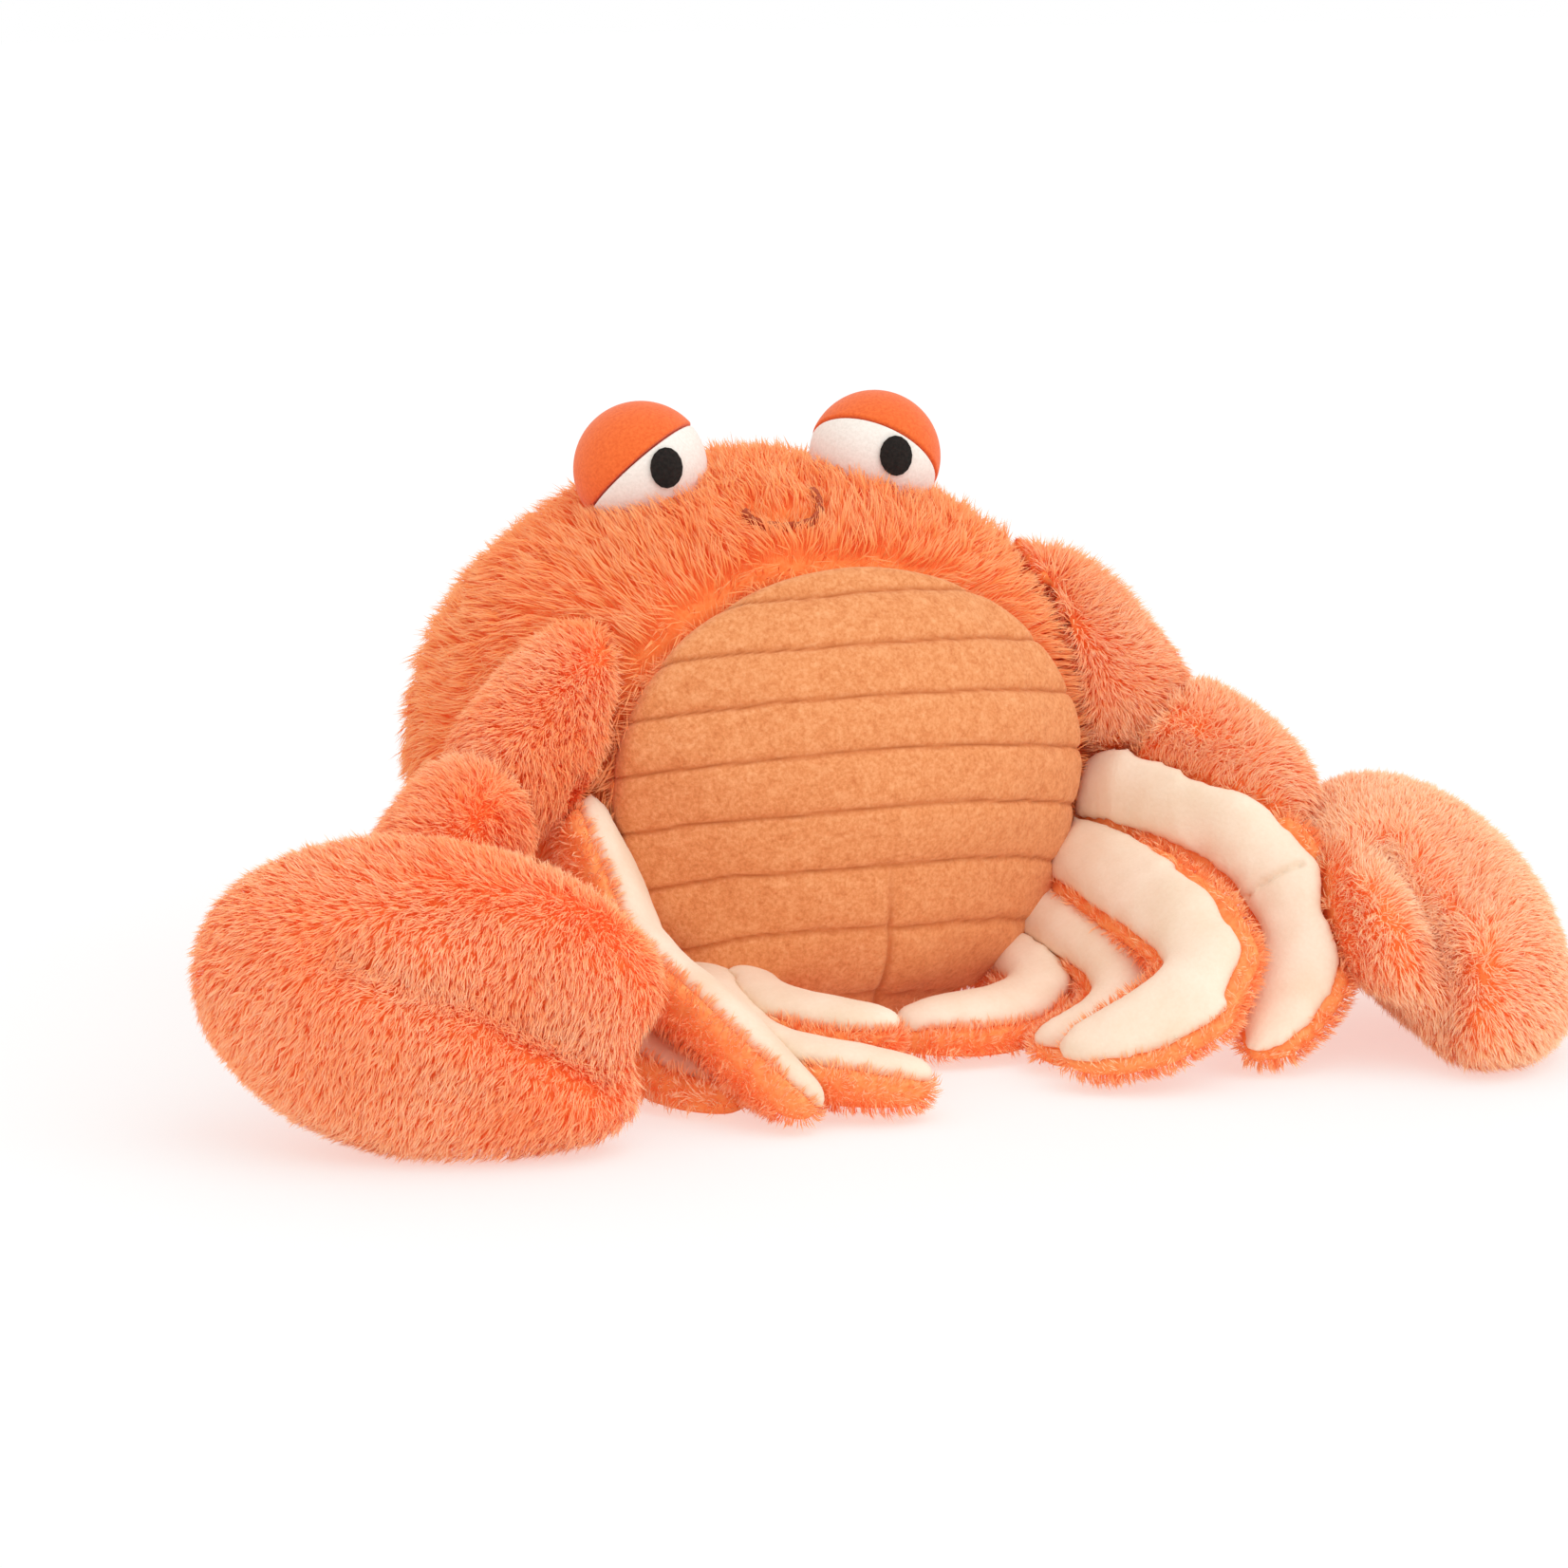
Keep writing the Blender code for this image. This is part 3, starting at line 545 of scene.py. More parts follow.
# The same knit under the legs' pile, dyed paler.
leg_backing = cloth_material("Knitted polyester backing, pale", "#fc9c5a", "#fcae70", **KNIT)
print("pile and backing:", [m.name for m in (long_pile, short_pile, backing, leg_backing)])

# %% [markdown]
# ## The body
# The body is a ball of stuffing in one bag of long pile. A sphere would do for it, but a real
# one sits down and spreads, and is pulled in at the mouth. So its skin starts from the CAD
# solid, is drawn in by almost half the length of the pile, and is then moved point by point.

# %% Body skin
BODY_CENTRE = np.array([0.0, 0.0, 0.076])
BODY_HALF = np.array([0.101, 0.090, 0.083])

body_skin = skin_of("body", "body_skin", voxel=0.0030, rounds=10, amount=0.0050)
finish_piece(body_skin, backing)

# %% [markdown]
# ### Finding places on the solids
# The pile must not grow through the eyes, the belly or the legs, and strands should lean
# towards what is sewn on beside them, so that no bare seam shows. A search tree for each solid
# answers both: how far a point is from it, and which way it lies. Raycasting every strand from
# the camera would work from one side only.

# %% Search trees
kept_trees = {}


def solid_tree(node_name):
    """A search tree of a CAD node's surface, made once."""
    if node_name not in kept_trees:
        mesh = nodes[node_name].data
        kept_trees[node_name] = BVHTree.FromPolygons([v.co.copy() for v in mesh.vertices],
                                                     [tuple(p.vertices) for p in mesh.polygons])
    return kept_trees[node_name]


def towards(points, node_name):
    """The way from each point to the nearest place of a CAD node, and how far that is."""
    tree = solid_tree(node_name)
    ways = np.array([tree.find_nearest(point)[0] for point in points]) - points
    return unit(ways), np.linalg.norm(ways, axis=1)


print("the belly is", towards(np.array([BODY_CENTRE]), "belly_panel")[1], "m from the body's centre")


# %% Inside or clear of a solid
def inside(tree, point):
    """True if a ray from the point crosses the solid's surface an odd number of times."""
    way = Vector((0.31, 0.52, 0.795)).normalized()
    crossings = 0
    start = Vector(point)
    while crossings < 12:
        place, _, _, _ = tree.ray_cast(start, way)
        if place is None:
            break
        crossings += 1
        start = place + way * 0.00001
    return crossings % 2 == 1


def clear_of(points, node_names, margin):
    """True for points at least margin outside these solids; a negative margin lets them sink in."""
    keep = np.ones(len(points), dtype=bool)
    for node_name in node_names:
        low, high = (np.array(corner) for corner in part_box(node_name))
        near = np.all((points > low - abs(margin)) & (points < high + abs(margin)), axis=1)
        tree = solid_tree(node_name)
        for index in np.nonzero(near & keep)[0]:
            _, _, _, distance = tree.find_nearest(points[index])
            if margin > 0 and distance < margin:
                keep[index] = False
            elif distance > -margin and distance < 0.015 and inside(tree, points[index]):
                keep[index] = False
    return keep


# %% Groups of solids
FRONTS = [name for name in nodes if name.endswith("_front")]
BACKS = [name for name in nodes if name.endswith("_back")]
ARMS = [name for name in nodes if "arm" in name or name.startswith("claw")]
HARD = [name for name in nodes if name.startswith("eye") or name == "belly_panel"] + FRONTS
print("fronts:", len(FRONTS), "backs:", len(BACKS), "arms and claws:", len(ARMS))

# %% [markdown]
# ### Places seen in the photograph
# Seams and creases are easiest to place where the eye sees them. A ray from the camera through
# a pixel meets the solid at the place that this pixel shows, so a line of pixels becomes a line
# on the toy. It is then a shape of its own, and stays put when the camera moves.

# %% From a pixel to a place
PHOTO_SIZE = 1652
MOUTH_LINE = [(785, 529), (789, 537), (798, 543), (813, 546), (831, 547), (848, 545), (860, 540),
              (866, 531), (866, 521), (861, 512), (856, 506)]


def where_seen(px, py, tree):
    """The point of a surface that the photograph shows at this pixel."""
    scale = SENSOR / LENS / PHOTO_SIZE
    right = Vector((math.cos(AZIMUTH), math.sin(AZIMUTH), 0))
    up = camera_back.cross(right)
    way = (right * (px - PHOTO_SIZE / 2) - up * (py - PHOTO_SIZE / 2)) * scale - camera_back
    place, _, _, _ = tree.ray_cast(camera.location, way.normalized())
    return place


def on_part(px, py, node_name):
    """The point of a CAD node that the photograph shows at this pixel."""
    return where_seen(px, py, solid_tree(node_name))


def nearest_on_path(points, path):
    """For each point, the nearest place of a path of straight lines and how far it is."""
    places = np.zeros_like(points)
    best = np.full(len(points), 1.0)
    for start, end in zip(path, path[1:]):
        start, end = np.array(start), np.array(end)
        along = end - start
        share = np.clip(((points - start) @ along) / (along @ along), 0, 1)
        place = start + share[:, None] * along
        far = np.linalg.norm(points - place, axis=1)
        nearer = far < best
        places[nearer], best[nearer] = place[nearer], far[nearer]
    return places, best


def path_distance(points, path):
    """How far each point is from a path."""
    return nearest_on_path(points, path)[1]


mouth_path = [on_part(px, py, "body") for px, py in MOUTH_LINE]
lip_middle = np.array(on_part(829, 526, "body"))
print("mouth from", tuple(mouth_path[0]), "to", tuple(mouth_path[-1]))


# %% Sag and pucker
SAG_HEIGHT = 0.058
SAG_REACH = 0.0120
SAG_RUN = 0.048


def move_points(piece, mover):
    """Move every vertex of a piece to where mover says, from all places and normals."""
    mesh = piece.data
    moved = mover(vertex_values(mesh, "co"), vertex_values(mesh, "normal"))
    mesh.vertices.foreach_set("co", moved.reshape(-1))
    mesh.update()


def sagged(points):
    """The stuffed body sits down: below this height it spreads out over the floor."""
    low = np.clip((SAG_HEIGHT - points[:, 2]) / SAG_RUN, 0, 1)[:, None]
    outwards = unit((points - BODY_CENTRE) * np.array([1.0, 1.0, 0.0]))
    return points + outwards * SAG_REACH * low * low * (3 - 2 * low)


def pucker_mouth(places, normals):
    """Press the skin in along the stitches and let the stuffing swell above them."""
    press = 0.0026 * np.exp(-(path_distance(places, mouth_path) / 0.0022) ** 2)
    swell = 0.0030 * np.exp(-(np.linalg.norm(places - lip_middle, axis=1) / 0.0120) ** 2)
    return sagged(places + normals * (swell - press)[:, None])


move_points(body_skin, pucker_mouth)
print("the body spreads", SAG_REACH * 1000, "mm below", SAG_HEIGHT * 1000, "mm")

# %% [markdown]
# ### Combing the long pile
# Fur lies the way that it was brushed. A comb field gives each root a direction: away from the
# face, back over the head, out at the sides and down below, with slow random turns so that no
# two areas lie alike. Strands lean away from the mouth, and over the edge of the belly.

# %% The comb
FACE = np.array([0.0, -0.085, 0.122])


def swirls(roots, size, seed):
    """A random way at each root that turns slowly over the skin."""
    return np.stack([soft_noise(roots, size, seed + i) for i in range(3)], axis=1)


def body_comb(roots, normals):
    """Away from the face: back over the head, out at the sides, down below."""
    away = unit(roots - FACE)
    back = np.clip(normals[:, 2:3], 0, 1) * np.array([0.0, 0.9, 0.0])
    down = np.clip((0.12 - roots[:, 2:3]) / 0.06, 0, 1) * np.array([0.0, 0.0, -0.7])
    turn = 0.45 * swirls(roots, 0.040, 21) + 0.25 * swirls(roots, 0.014, 25)
    place, far = nearest_on_path(roots, mouth_path)
    near = fade(far, 0.0060)[:, None]
    comb = (away + back + down + turn) * (1 - near) + 1.5 * unit(roots - place) * near
    to_belly, gap = towards(roots, "belly_panel")
    beside = fade(gap, 0.0050)[:, None]
    return comb * (1 - beside) + (1.1 * to_belly + 0.5 * turn) * beside


print("comb on top of the head:", body_comb(np.array([[0.0, 0.0, 0.159]]), np.array([[0.0, 0.0, 1.0]])))

# %% Roots of the body's pile
BODY_SPOTS = 135000
BODY_STRANDS = 94000

roots, normals = spots_on(body_skin, BODY_SPOTS, seed=11)
outer = unit((roots - BODY_CENTRE) / BODY_HALF ** 2)
on_outside = ((outer * normals).sum(axis=1) > 0.55) & (roots[:, 2] > 0.001)
over_skin = roots + normals * 0.002
keep = on_outside & clear_of(over_skin, HARD, 0.0010) & clear_of(over_skin, ARMS, -0.0032)
keep = keep & clear_of(over_skin, BACKS, 0.0004)
mouth_near = path_distance(roots, mouth_path)
keep = keep & (mouth_near > 0.0014)
roots = roots[keep][:BODY_STRANDS]
normals = normals[keep][:BODY_STRANDS]
mouth_near = mouth_near[keep][:BODY_STRANDS]
print("strands on the body:", len(roots), "of", keep.sum(), "that are clear of the other parts")

# %% The body's pile
# The pile is shorter round the mouth and the eyes, and a little darker on the face. Right at the
# mouth it is much darker, which is painted shade in the fold of the stitches.
BODY_PILE = 0.0112

length = BODY_PILE * (1 - 0.80 * fade(mouth_near, 0.0060))
for eye in ("eye_white_left", "eye_white_right"):
    _, gap = towards(roots, eye)
    length *= 1 - 0.35 * fade(gap, 0.0060)
from_face = np.linalg.norm(roots - np.array([-0.015, -0.075, 0.130]), axis=1)
body_tone = -0.48 * fade(mouth_near, 0.0034) - 0.24 * fade(from_face, 0.055)
# Beside the left shoulder the pile flows over the seam and onto the arm.
to_shoulder, gap = towards(roots, "upper_arm_left")
over = fade(gap, 0.0080)[:, None]
flow = unit(body_comb(roots, normals))
flow = flow * (1 - 0.5 * over) + 1.2 * to_shoulder * over
body_pile = grow_pile("body_pile", roots, normals, flow, length, lean=0.82, width=0.00042,
                      tuft=12, gather=0.42, seed=31, tone=body_tone)
finish_piece(body_pile, long_pile)

# %% [markdown]
# ## The mouth
# The smile is a row of hand stitches that sinks between the tufts. It could be painted on, but
# then it would lie on top of the pile. A thread of its own is laid along the mouth's line, dips
# into the cloth between stitches, and takes its shadow from the strands round it.

# %% Thread
# Twisted polyester thread: matt, and mottled by its twist, which shows as light and dark dots.
# The twist is drawn at 0.6 mm, coarser than it really is, because a finer one doesn't show.
# Its dark rust colour is partly the thread's own, and partly painted shade for the fold that the stitches
# pull into the pile.
thread_paint, thread_shader = new_material("Rust polyester thread, twisted, with painted fold shade", roughness=0.7, sheen=0.1)
twist = grain(thread_paint, size=0.0006, detail=2.0)
thread_colour = ramp_node(thread_paint, twist, [(0.35, "#a03a17"), (0.65, "#ba5224")])
thread_paint.node_tree.links.new(thread_colour.outputs[0], thread_shader.inputs["Base Color"])
print("thread:", thread_paint.name)


# %% A thread laid along a path
STITCHES = 9
THREAD_RADIUS = 0.0012
THREAD_SUNK = 0.0032


def thread_along(name, path, sunk, radius, stitches):
    """A thread laid on the body along a path, that dips into the cloth after each stitch."""
    corners = np.array(path)
    run = np.concatenate([[0], np.cumsum(np.linalg.norm(np.diff(corners, axis=0), axis=1))])
    count = stitches * 8 + 1
    even = np.linspace(0, run[-1], count)
    places = np.stack([np.interp(even, run, corners[:, i]) for i in range(3)], axis=1)
    for _ in range(6):
        places[1:-1] = (places[:-2] + 2 * places[1:-1] + places[2:]) / 4
    outwards = unit((places - BODY_CENTRE) / BODY_HALF ** 2)
    dip = np.abs(np.sin(np.linspace(0, math.pi * stitches, count))) ** 0.5
    dip[[0, -1]] = -2.0
    places += outwards * (dip * 0.0007 - sunk)[:, None]
    ways = unit(np.gradient(places, axis=0))
    sides = unit(np.cross(ways, outwards))
    ups = np.cross(sides, ways)
    mesh_data = bmesh.new()
    rings = []
    for place, side_way, up in zip(places, sides, ups):
        ring = [mesh_data.verts.new(place + radius * (math.cos(turn) * side_way + math.sin(turn) * up))
                for turn in np.linspace(0, 2 * math.pi, 10, endpoint=False)]
        rings.append([mesh_data.edges.new((ring[i], ring[(i + 1) % 10])) for i in range(10)])
    for first_ring, second_ring in zip(rings, rings[1:]):
        bmesh.ops.bridge_loops(mesh_data, edges=first_ring + second_ring)
    bmesh.ops.holes_fill(mesh_data, edges=rings[0] + rings[-1], sides=0)
    bmesh.ops.recalc_face_normals(mesh_data, faces=mesh_data.faces)
    piece = link_bmesh(name, mesh_data)
    piece.data.shade_smooth()
    return piece


mouth_thread = thread_along("mouth_thread", mouth_path, THREAD_SUNK, THREAD_RADIUS, STITCHES)
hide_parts("mouth_stitch")
finish_piece(mouth_thread, thread_paint)

# %% [markdown]
# ## Arms and claws
# Each arm is two stuffed sections and a mitten of a claw, sewn from one short sheared pile. They
# could be modelled as one tube, but the creases between the sections give a soft arm its shape.
# So each section keeps its own skin, and beside the body its pile leans over the seam.

# %% Creases of the claws
def middle_of(node_name):
    """The middle of a CAD node's box."""
    low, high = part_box(node_name)
    return (np.array(low) + np.array(high)) / 2


# The stitched line between a claw's two fingers, in pixels of the photograph.
CREASES = {"claw_right": [(365, 1008), (440, 1038), (505, 1056), (560, 1085), (614, 1110), (652, 1137)],
           "claw_left": [(1462, 895), (1494, 945), (1519, 995), (1528, 1040), (1525, 1075), (1514, 1102)]}


def creased(node_name, depth, reach):
    """A mover that pulls the stuffing in along the claw's stitched line."""
    path = [on_part(px, py, node_name) for px, py in CREASES[node_name]]
    path = [place for place in path if place]

    def mover(places, normals):
        near = path_distance(places, path)
        groove = depth * fade(near, reach)
        swelling = 0.35 * depth * np.exp(-((near - 2.4 * reach) / reach) ** 2)
        return places - normals * (groove - swelling)[:, None]
    return mover


print("middle of the left claw:", middle_of("claw_left"))

# %% Tones and shoulder
# How light each part is in the photograph, as a change of its strands' tone: painted light and
# shade, lightest on the left claw, which faces the lamp, and darker on the right arm.
PAINTED_LIGHT_TONES = {"upper_arm_right": -0.28, "forearm_right": -0.20, "claw_right": -0.10,
         "upper_arm_left": 0.0, "forearm_left": 0.08, "claw_left": 0.36}
shoulder_height = on_part(1165, 650, "upper_arm_left").z


def shoulder_share(points):
    """One on the shoulder that the body's long pile covers, and zero on the arm below."""
    share = np.clip((points[:, 2] - shoulder_height + 0.010) / 0.018, 0, 1)
    return share * share * (3 - 2 * share)


print("the shoulder ends at", shoulder_height, "m")


# %% Weight of the claws, and the shoulder's depth
def spread_on_floor(places, normals):
    """The claw's weight flattens it where it lies, and the stuffing spreads sideways."""
    low = np.clip(1 - places[:, 2] / 0.024, 0, 1)[:, None]
    middle = (places.min(axis=0) + places.max(axis=0)) / 2
    outwards = unit((places - middle) * np.array([1.0, 1.0, 0.0]))
    return places + outwards * 0.0055 * low


def lower_shoulder(places, normals):
    """Draw the shoulder in, because its long pile stands further out."""
    return places - normals * 0.0012 * shoulder_share(places)[:, None]


print("the left shoulder is drawn in, and both claws spread on the floor")


# %% Skin of one arm part
def arm_skin(part, side):
    """The skin of an upper arm, forearm or claw, shaped by its seams and its weight."""
    node_name = f"{part}_{side}"
    drawn_in = 0.0016 if part == "claw" else 0.0022
    skin = skin_of(node_name, node_name + "_skin", voxel=0.0028, rounds=6, amount=drawn_in)
    if node_name == "upper_arm_left":
        move_points(skin, lower_shoulder)
    if part == "claw":
        move_points(skin, spread_on_floor)
        crease_depth = 0.0024 if side == "right" else 0.0040
        move_points(skin, creased(node_name, crease_depth, reach=0.0050))
    finish_piece(skin, backing)
    return skin


print("arm skins are made from squares of 2.8 mm")


# %% Roots of the short pile
CLAW_SPOTS = 64000
ARM_SPOTS = 24500


def arm_roots(skin, part, node_name, seed):
    """Roots on an arm part that are clear of the legs' fronts and not deep in a neighbour."""
    roots, normals = spots_on(skin, CLAW_SPOTS if part == "claw" else ARM_SPOTS, seed)
    over_skin = roots + normals * 0.0012
    soft = [n for n in ARMS + BACKS if n != node_name]
    keep = clear_of(over_skin, FRONTS, 0.0006) & clear_of(over_skin, soft, -0.0012)
    keep = keep & clear_of(over_skin, ["body"], -0.0060) & (roots[:, 2] > 0.0006)
    return roots[keep], normals[keep]


print("spots on a claw:", CLAW_SPOTS, "and on an arm section:", ARM_SPOTS)


# %% Comb of the short pile
def arm_comb(roots, normals, node_name, side, along):
    """Down the arm and outwards, back on top, down at the sides, and away from the leg."""
    from_middle = np.linalg.norm(roots - middle_of(node_name), axis=1)[:, None] / 0.055
    outwards = across_skin(unit(roots - middle_of(node_name)), normals) * 0.5 * np.minimum(from_middle, 1)
    back = np.clip(normals[:, 2:3] * 1.5 - 0.5, 0, 1) * np.array([0.0, 0.9, 0.0])
    high = np.clip(roots[:, 2:3] / 0.014, 0, 1)
    down = (1 - np.abs(normals[:, 2:3])) * np.array([0.0, 0.0, -0.6]) * (high * 1.3 - 0.3)
    turn = 0.22 * swirls(roots, 0.035, 60) + 0.18 * swirls(roots, 0.012, 64)
    comb = outwards + back + down + turn + 0.9 * along
    to_leg, gap = towards(roots, f"leg_{side}_1_front")
    beside = fade(gap, 0.0080)[:, None]
    return unit(comb) * (1 - beside) - 1.3 * to_leg * beside


print("arm parts:", sorted(ARMS))

# %% Arms and claws
ARM_PILE = 0.0056
ARM_WIDTH = 0.00034

for side in ("left", "right"):
    along = middle_of(f"claw_{side}") - middle_of(f"upper_arm_{side}")
    along = unit(np.array([[along[0], 0.02, along[2]]]))
    for number, part in enumerate(("upper_arm", "forearm", "claw")):
        node_name = f"{part}_{side}"
        skin = arm_skin(part, side)
        roots, normals = arm_roots(skin, part, node_name, seed=50 + number)
        comb = arm_comb(roots, normals, node_name, side, along)
        tips = roots + normals * 0.0030 + unit(across_skin(comb, normals)) * 0.0036
        keep = clear_of(tips, FRONTS, 0.0002)
        roots, normals, comb = roots[keep], normals[keep], comb[keep]
        to_body, gap = towards(roots, "body")
        beside = fade(gap, 0.0042)[:, None]
        comb = unit(comb) * (1 - beside) + 1.2 * to_body * beside
        on_base = (normals[:, 2] < -0.85) & (roots[:, 2] < 0.004)
        roots, normals, comb = roots[~on_base], normals[~on_base], comb[~on_base]
        length, width, tone = ARM_PILE, ARM_WIDTH, PAINTED_LIGHT_TONES[node_name]
        if node_name == "upper_arm_left":
            share = shoulder_share(roots) * (1 - beside[~on_base, 0])
            comb = unit(comb) * (1 - share)[:, None] + unit(body_comb(roots, normals)) * share[:, None]
            length, width = ARM_PILE + 0.0048 * share, ARM_WIDTH + 0.00008 * share
            tone = tone * (1 - share) - 0.10 * share
        # Painted light: strands that face down get a lighter tone, which stands for light thrown up from the
        # floor.
        tone = tone + 0.35 * np.clip(-normals[:, 2] - 0.1, 0, 1)
        pile = grow_pile(node_name + "_pile", roots, normals, comb, length, lean=0.80, width=width,
                         tuft=6, gather=0.22, seed=70 + number, tone=tone)
        finish_piece(pile, short_pile)

# %% [markdown]
# ## The legs
# Each leg is flat: short pile behind, and a smooth cream face in front, filled so that it is
# round at the edges. A bevelled slab would look cut from foam. The faces are smoothed by turns
# inwards and outwards, which rounds the corners but keeps the filling, then dented softly.

# %% Cream suede
# Brushed polyester suede: a short nap that scatters light, so the cream stays pale in shade, with
# slow patches where it was stroked. The nap is drawn at 1.2 mm, coarser than real, so it shows.
cream, cream_shader = new_material("Cream polyester suede", roughness=0.85, sheen=0.25,
                                   sheen_tint="#fff4e6", specular=0.2)
nap = grain(cream, size=0.0012, detail=4.0)
patches = grain(cream, size=0.018, detail=2.0)
nap_mix = add_node(cream, "Math", {"operation": "MULTIPLY_ADD"}, {1: 0.35}, {0: nap, 2: patches})
cream_colour = ramp_node(cream, nap_mix.outputs[0], [(0.45, "#ecd6bc"), (0.9, "#f6e6d2")])
feed(cream, cream_shader, cream_colour.outputs[0], nap, strength=0.35, depth=0.0003)
print("leg fronts:", cream.name)

# %% Rounding helpers
leg_names = sorted(n[:-5] for n in nodes if n.startswith("leg_") and n.endswith("_back"))


def even_out(piece, rounds):
    """Smooth by turns inwards and outwards, which takes the corners but not the volume."""
    mesh_data = bmesh.new()
    mesh_data.from_mesh(piece.data)
    for _ in range(rounds):
        for factor in (0.5, -0.52):
            smooth_once(mesh_data, mesh_data.verts, factor)
    mesh_data.to_mesh(piece.data)
    mesh_data.free()
    piece.data.shade_smooth()


print("legs:", leg_names)

# %% Rounded knees
# Where the outer edges of the two nearest legs bend, in pixels of the photograph.
KNEES = {"leg_left_1": [(1383, 915), (1300, 850)], "leg_left_2": [(1300, 995), (1262, 935)]}
KNEE_REACH = 0.017


def round_off(piece, centre, radius, rounds):
    """Smooth only the skin near one place, and push it out again where it has shrunk."""
    mesh_data = bmesh.new()
    mesh_data.from_mesh(piece.data)
    near = [vertex for vertex in mesh_data.verts if (vertex.co - centre).length < radius]
    for _ in range(rounds):
        smooth_once(mesh_data, near, 0.5)
    mesh_data.normal_update()
    moves = [vertex.normal * 0.0012 * (1 - (vertex.co - centre).length / radius) for vertex in near]
    for vertex, move in zip(near, moves):
        vertex.co += move
    mesh_data.to_mesh(piece.data)
    mesh_data.free()


print("knees to round:", sum(len(places) for places in KNEES.values()))

# %% [markdown]
# The nearest leg has a seam across its knee, and fills out under the arm. A texture could draw
# the seam, but the swelling beside it is what catches the light, so both are moved in the mesh.

# %% Knee seam, upper edge and dents
KNEE_SEAM = [(1314, 946), (1332, 930), (1352, 918), (1370, 911)]


def knee_seam(piece):
    """The piece's places with a sewn line across the knee, and the stuffing swelling beside it."""
    tree = BVHTree.FromPolygons([v.co.copy() for v in piece.data.vertices],
                                [tuple(p.vertices) for p in piece.data.polygons])
    seam_path = [place for place in (where_seen(px, py, tree) for px, py in KNEE_SEAM) if place]

    def mover(places, normals):
        near = path_distance(places, seam_path)
        height = 0.0009 * fade(near, 0.0055) - 0.0022 * fade(near, 0.0011)
        return places + normals * height[:, None]
    return mover


EDGE_LINE = [(1178, 818), (1238, 836), (1299, 857)]
edge_path = [on_part(px, py, "leg_left_1_front") for px, py in EDGE_LINE]


def raised_edge(places, normals):
    """The stuffing stands up along the leg's upper edge, under the arm."""
    near = path_distance(places, edge_path)
    return places + np.array([0.0, 0.0, 0.0042]) * fade(near, 0.0110)[:, None]


def soft_dents(places, normals):
    """Stuffing is never even: shallow dents and folds."""
    folds = 0.00016 * soft_noise(places, 0.016, 41) + 0.00006 * soft_noise(places, 0.0045, 42)
    return places + normals * folds[:, None]


print("upper edge of the first leg from", tuple(edge_path[0]), "to", tuple(edge_path[-1]))

# %% Make the legs
LEG_SPOTS = 10500
LEG_PILE = 0.0044
LEG_WIDTH = 0.00038

for number, leg in enumerate(leg_names):
    back = skin_of(leg + "_back", leg + "_back_skin", voxel=0.0020, rounds=4, amount=-0.0004)
    finish_piece(back, leg_backing)
    roots, normals = spots_on(back, LEG_SPOTS, seed=90 + number)
    over_skin = roots + normals * 0.0006
    soft = [n for n in ARMS + BACKS + ["body"] if n != leg + "_back"]
    keep = clear_of(over_skin, FRONTS + ["belly_panel"], 0.0002) & clear_of(over_skin, soft, -0.0035)
    keep = keep & (roots[:, 2] > 0.0005)
    roots, normals = roots[keep], normals[keep]
    comb = unit((roots - np.array([0, 0, 0.09])) * np.array([1, 1, 0.4])) + 0.6 * swirls(roots, 0.02, 100)
    to_front, gap = towards(roots, leg + "_front")
    beside = fade(gap, 0.0050)[:, None]
    comb = comb * (1 - beside) + 1.5 * to_front * beside
    upright = (normals[:, 2] > -0.55) | (roots[:, 2] > 0.004)
    pile = grow_pile(leg + "_pile", roots[upright], normals[upright], comb[upright], LEG_PILE, lean=0.60,
                     width=LEG_WIDTH, tuft=5, gather=0.20, seed=110 + number, tone=0.24, messy=0.5)
    finish_piece(pile, short_pile)

    front = skin_of(leg + "_front", leg + "_front_suede", voxel=0.0014, rounds=6, amount=-0.0007)
    even_out(front, rounds=60)
    for px, py in KNEES.get(leg, ()):
        round_off(front, on_part(px, py, leg + "_front"), KNEE_REACH, rounds=45)
    if leg == "leg_left_1":
        grow = front.modifiers.new("finer for the seam", "SUBSURF")
        grow.levels = grow.render_levels = 1
        settled(front)
        move_points(front, raised_edge)
        move_points(front, knee_seam(front))
    move_points(front, soft_dents)
    finish_piece(front, cream)

# %% [markdown]
# ## The belly
# The belly is a round patch of short plush, quilted in bands by sewn lines that run across it.
# A flat disc that is pushed onto the body would stretch. Here a square grid is bent
# into a disc, laid on the body's surface, and its height is then worked out point by point:
# a bulge in each band, a cut at each line, and a soft edge that dives into the pile.

# %% Size and place of the belly
BELLY_HALF_WIDTH = 0.073
BELLY_HALF_HEIGHT = 0.058
BELLY_SIDE_SHIFT = 0.0065
BELLY_DROP = 0.0234
BAND_PITCH = 0.0146
BAND_TILT = math.radians(20)
BAND_UP = np.array([0.0, math.sin(BAND_TILT), math.cos(BAND_TILT)])
BAND_OUT = np.array([0.0, -math.cos(BAND_TILT), math.sin(BAND_TILT)])


def front_of_body(x, rise):
    """Points of the body's front at widths x and distances up the tilted bands."""
    low = rise[:, None] * BAND_UP + x[:, None] * np.array([1.0, 0.0, 0.0])
    first = ((BAND_OUT / BODY_HALF) ** 2).sum()
    second = 2 * (low * BAND_OUT / BODY_HALF ** 2).sum(axis=1)
    third = ((low / BODY_HALF) ** 2).sum(axis=1) - 1
    reach = (-second + np.sqrt(np.maximum(second ** 2 - 4 * first * third, 0))) / (2 * first)
    return sagged(BODY_CENTRE + low + reach[:, None] * BAND_OUT)


print("the belly's middle:", front_of_body(np.zeros(1), np.array([-BELLY_DROP])))

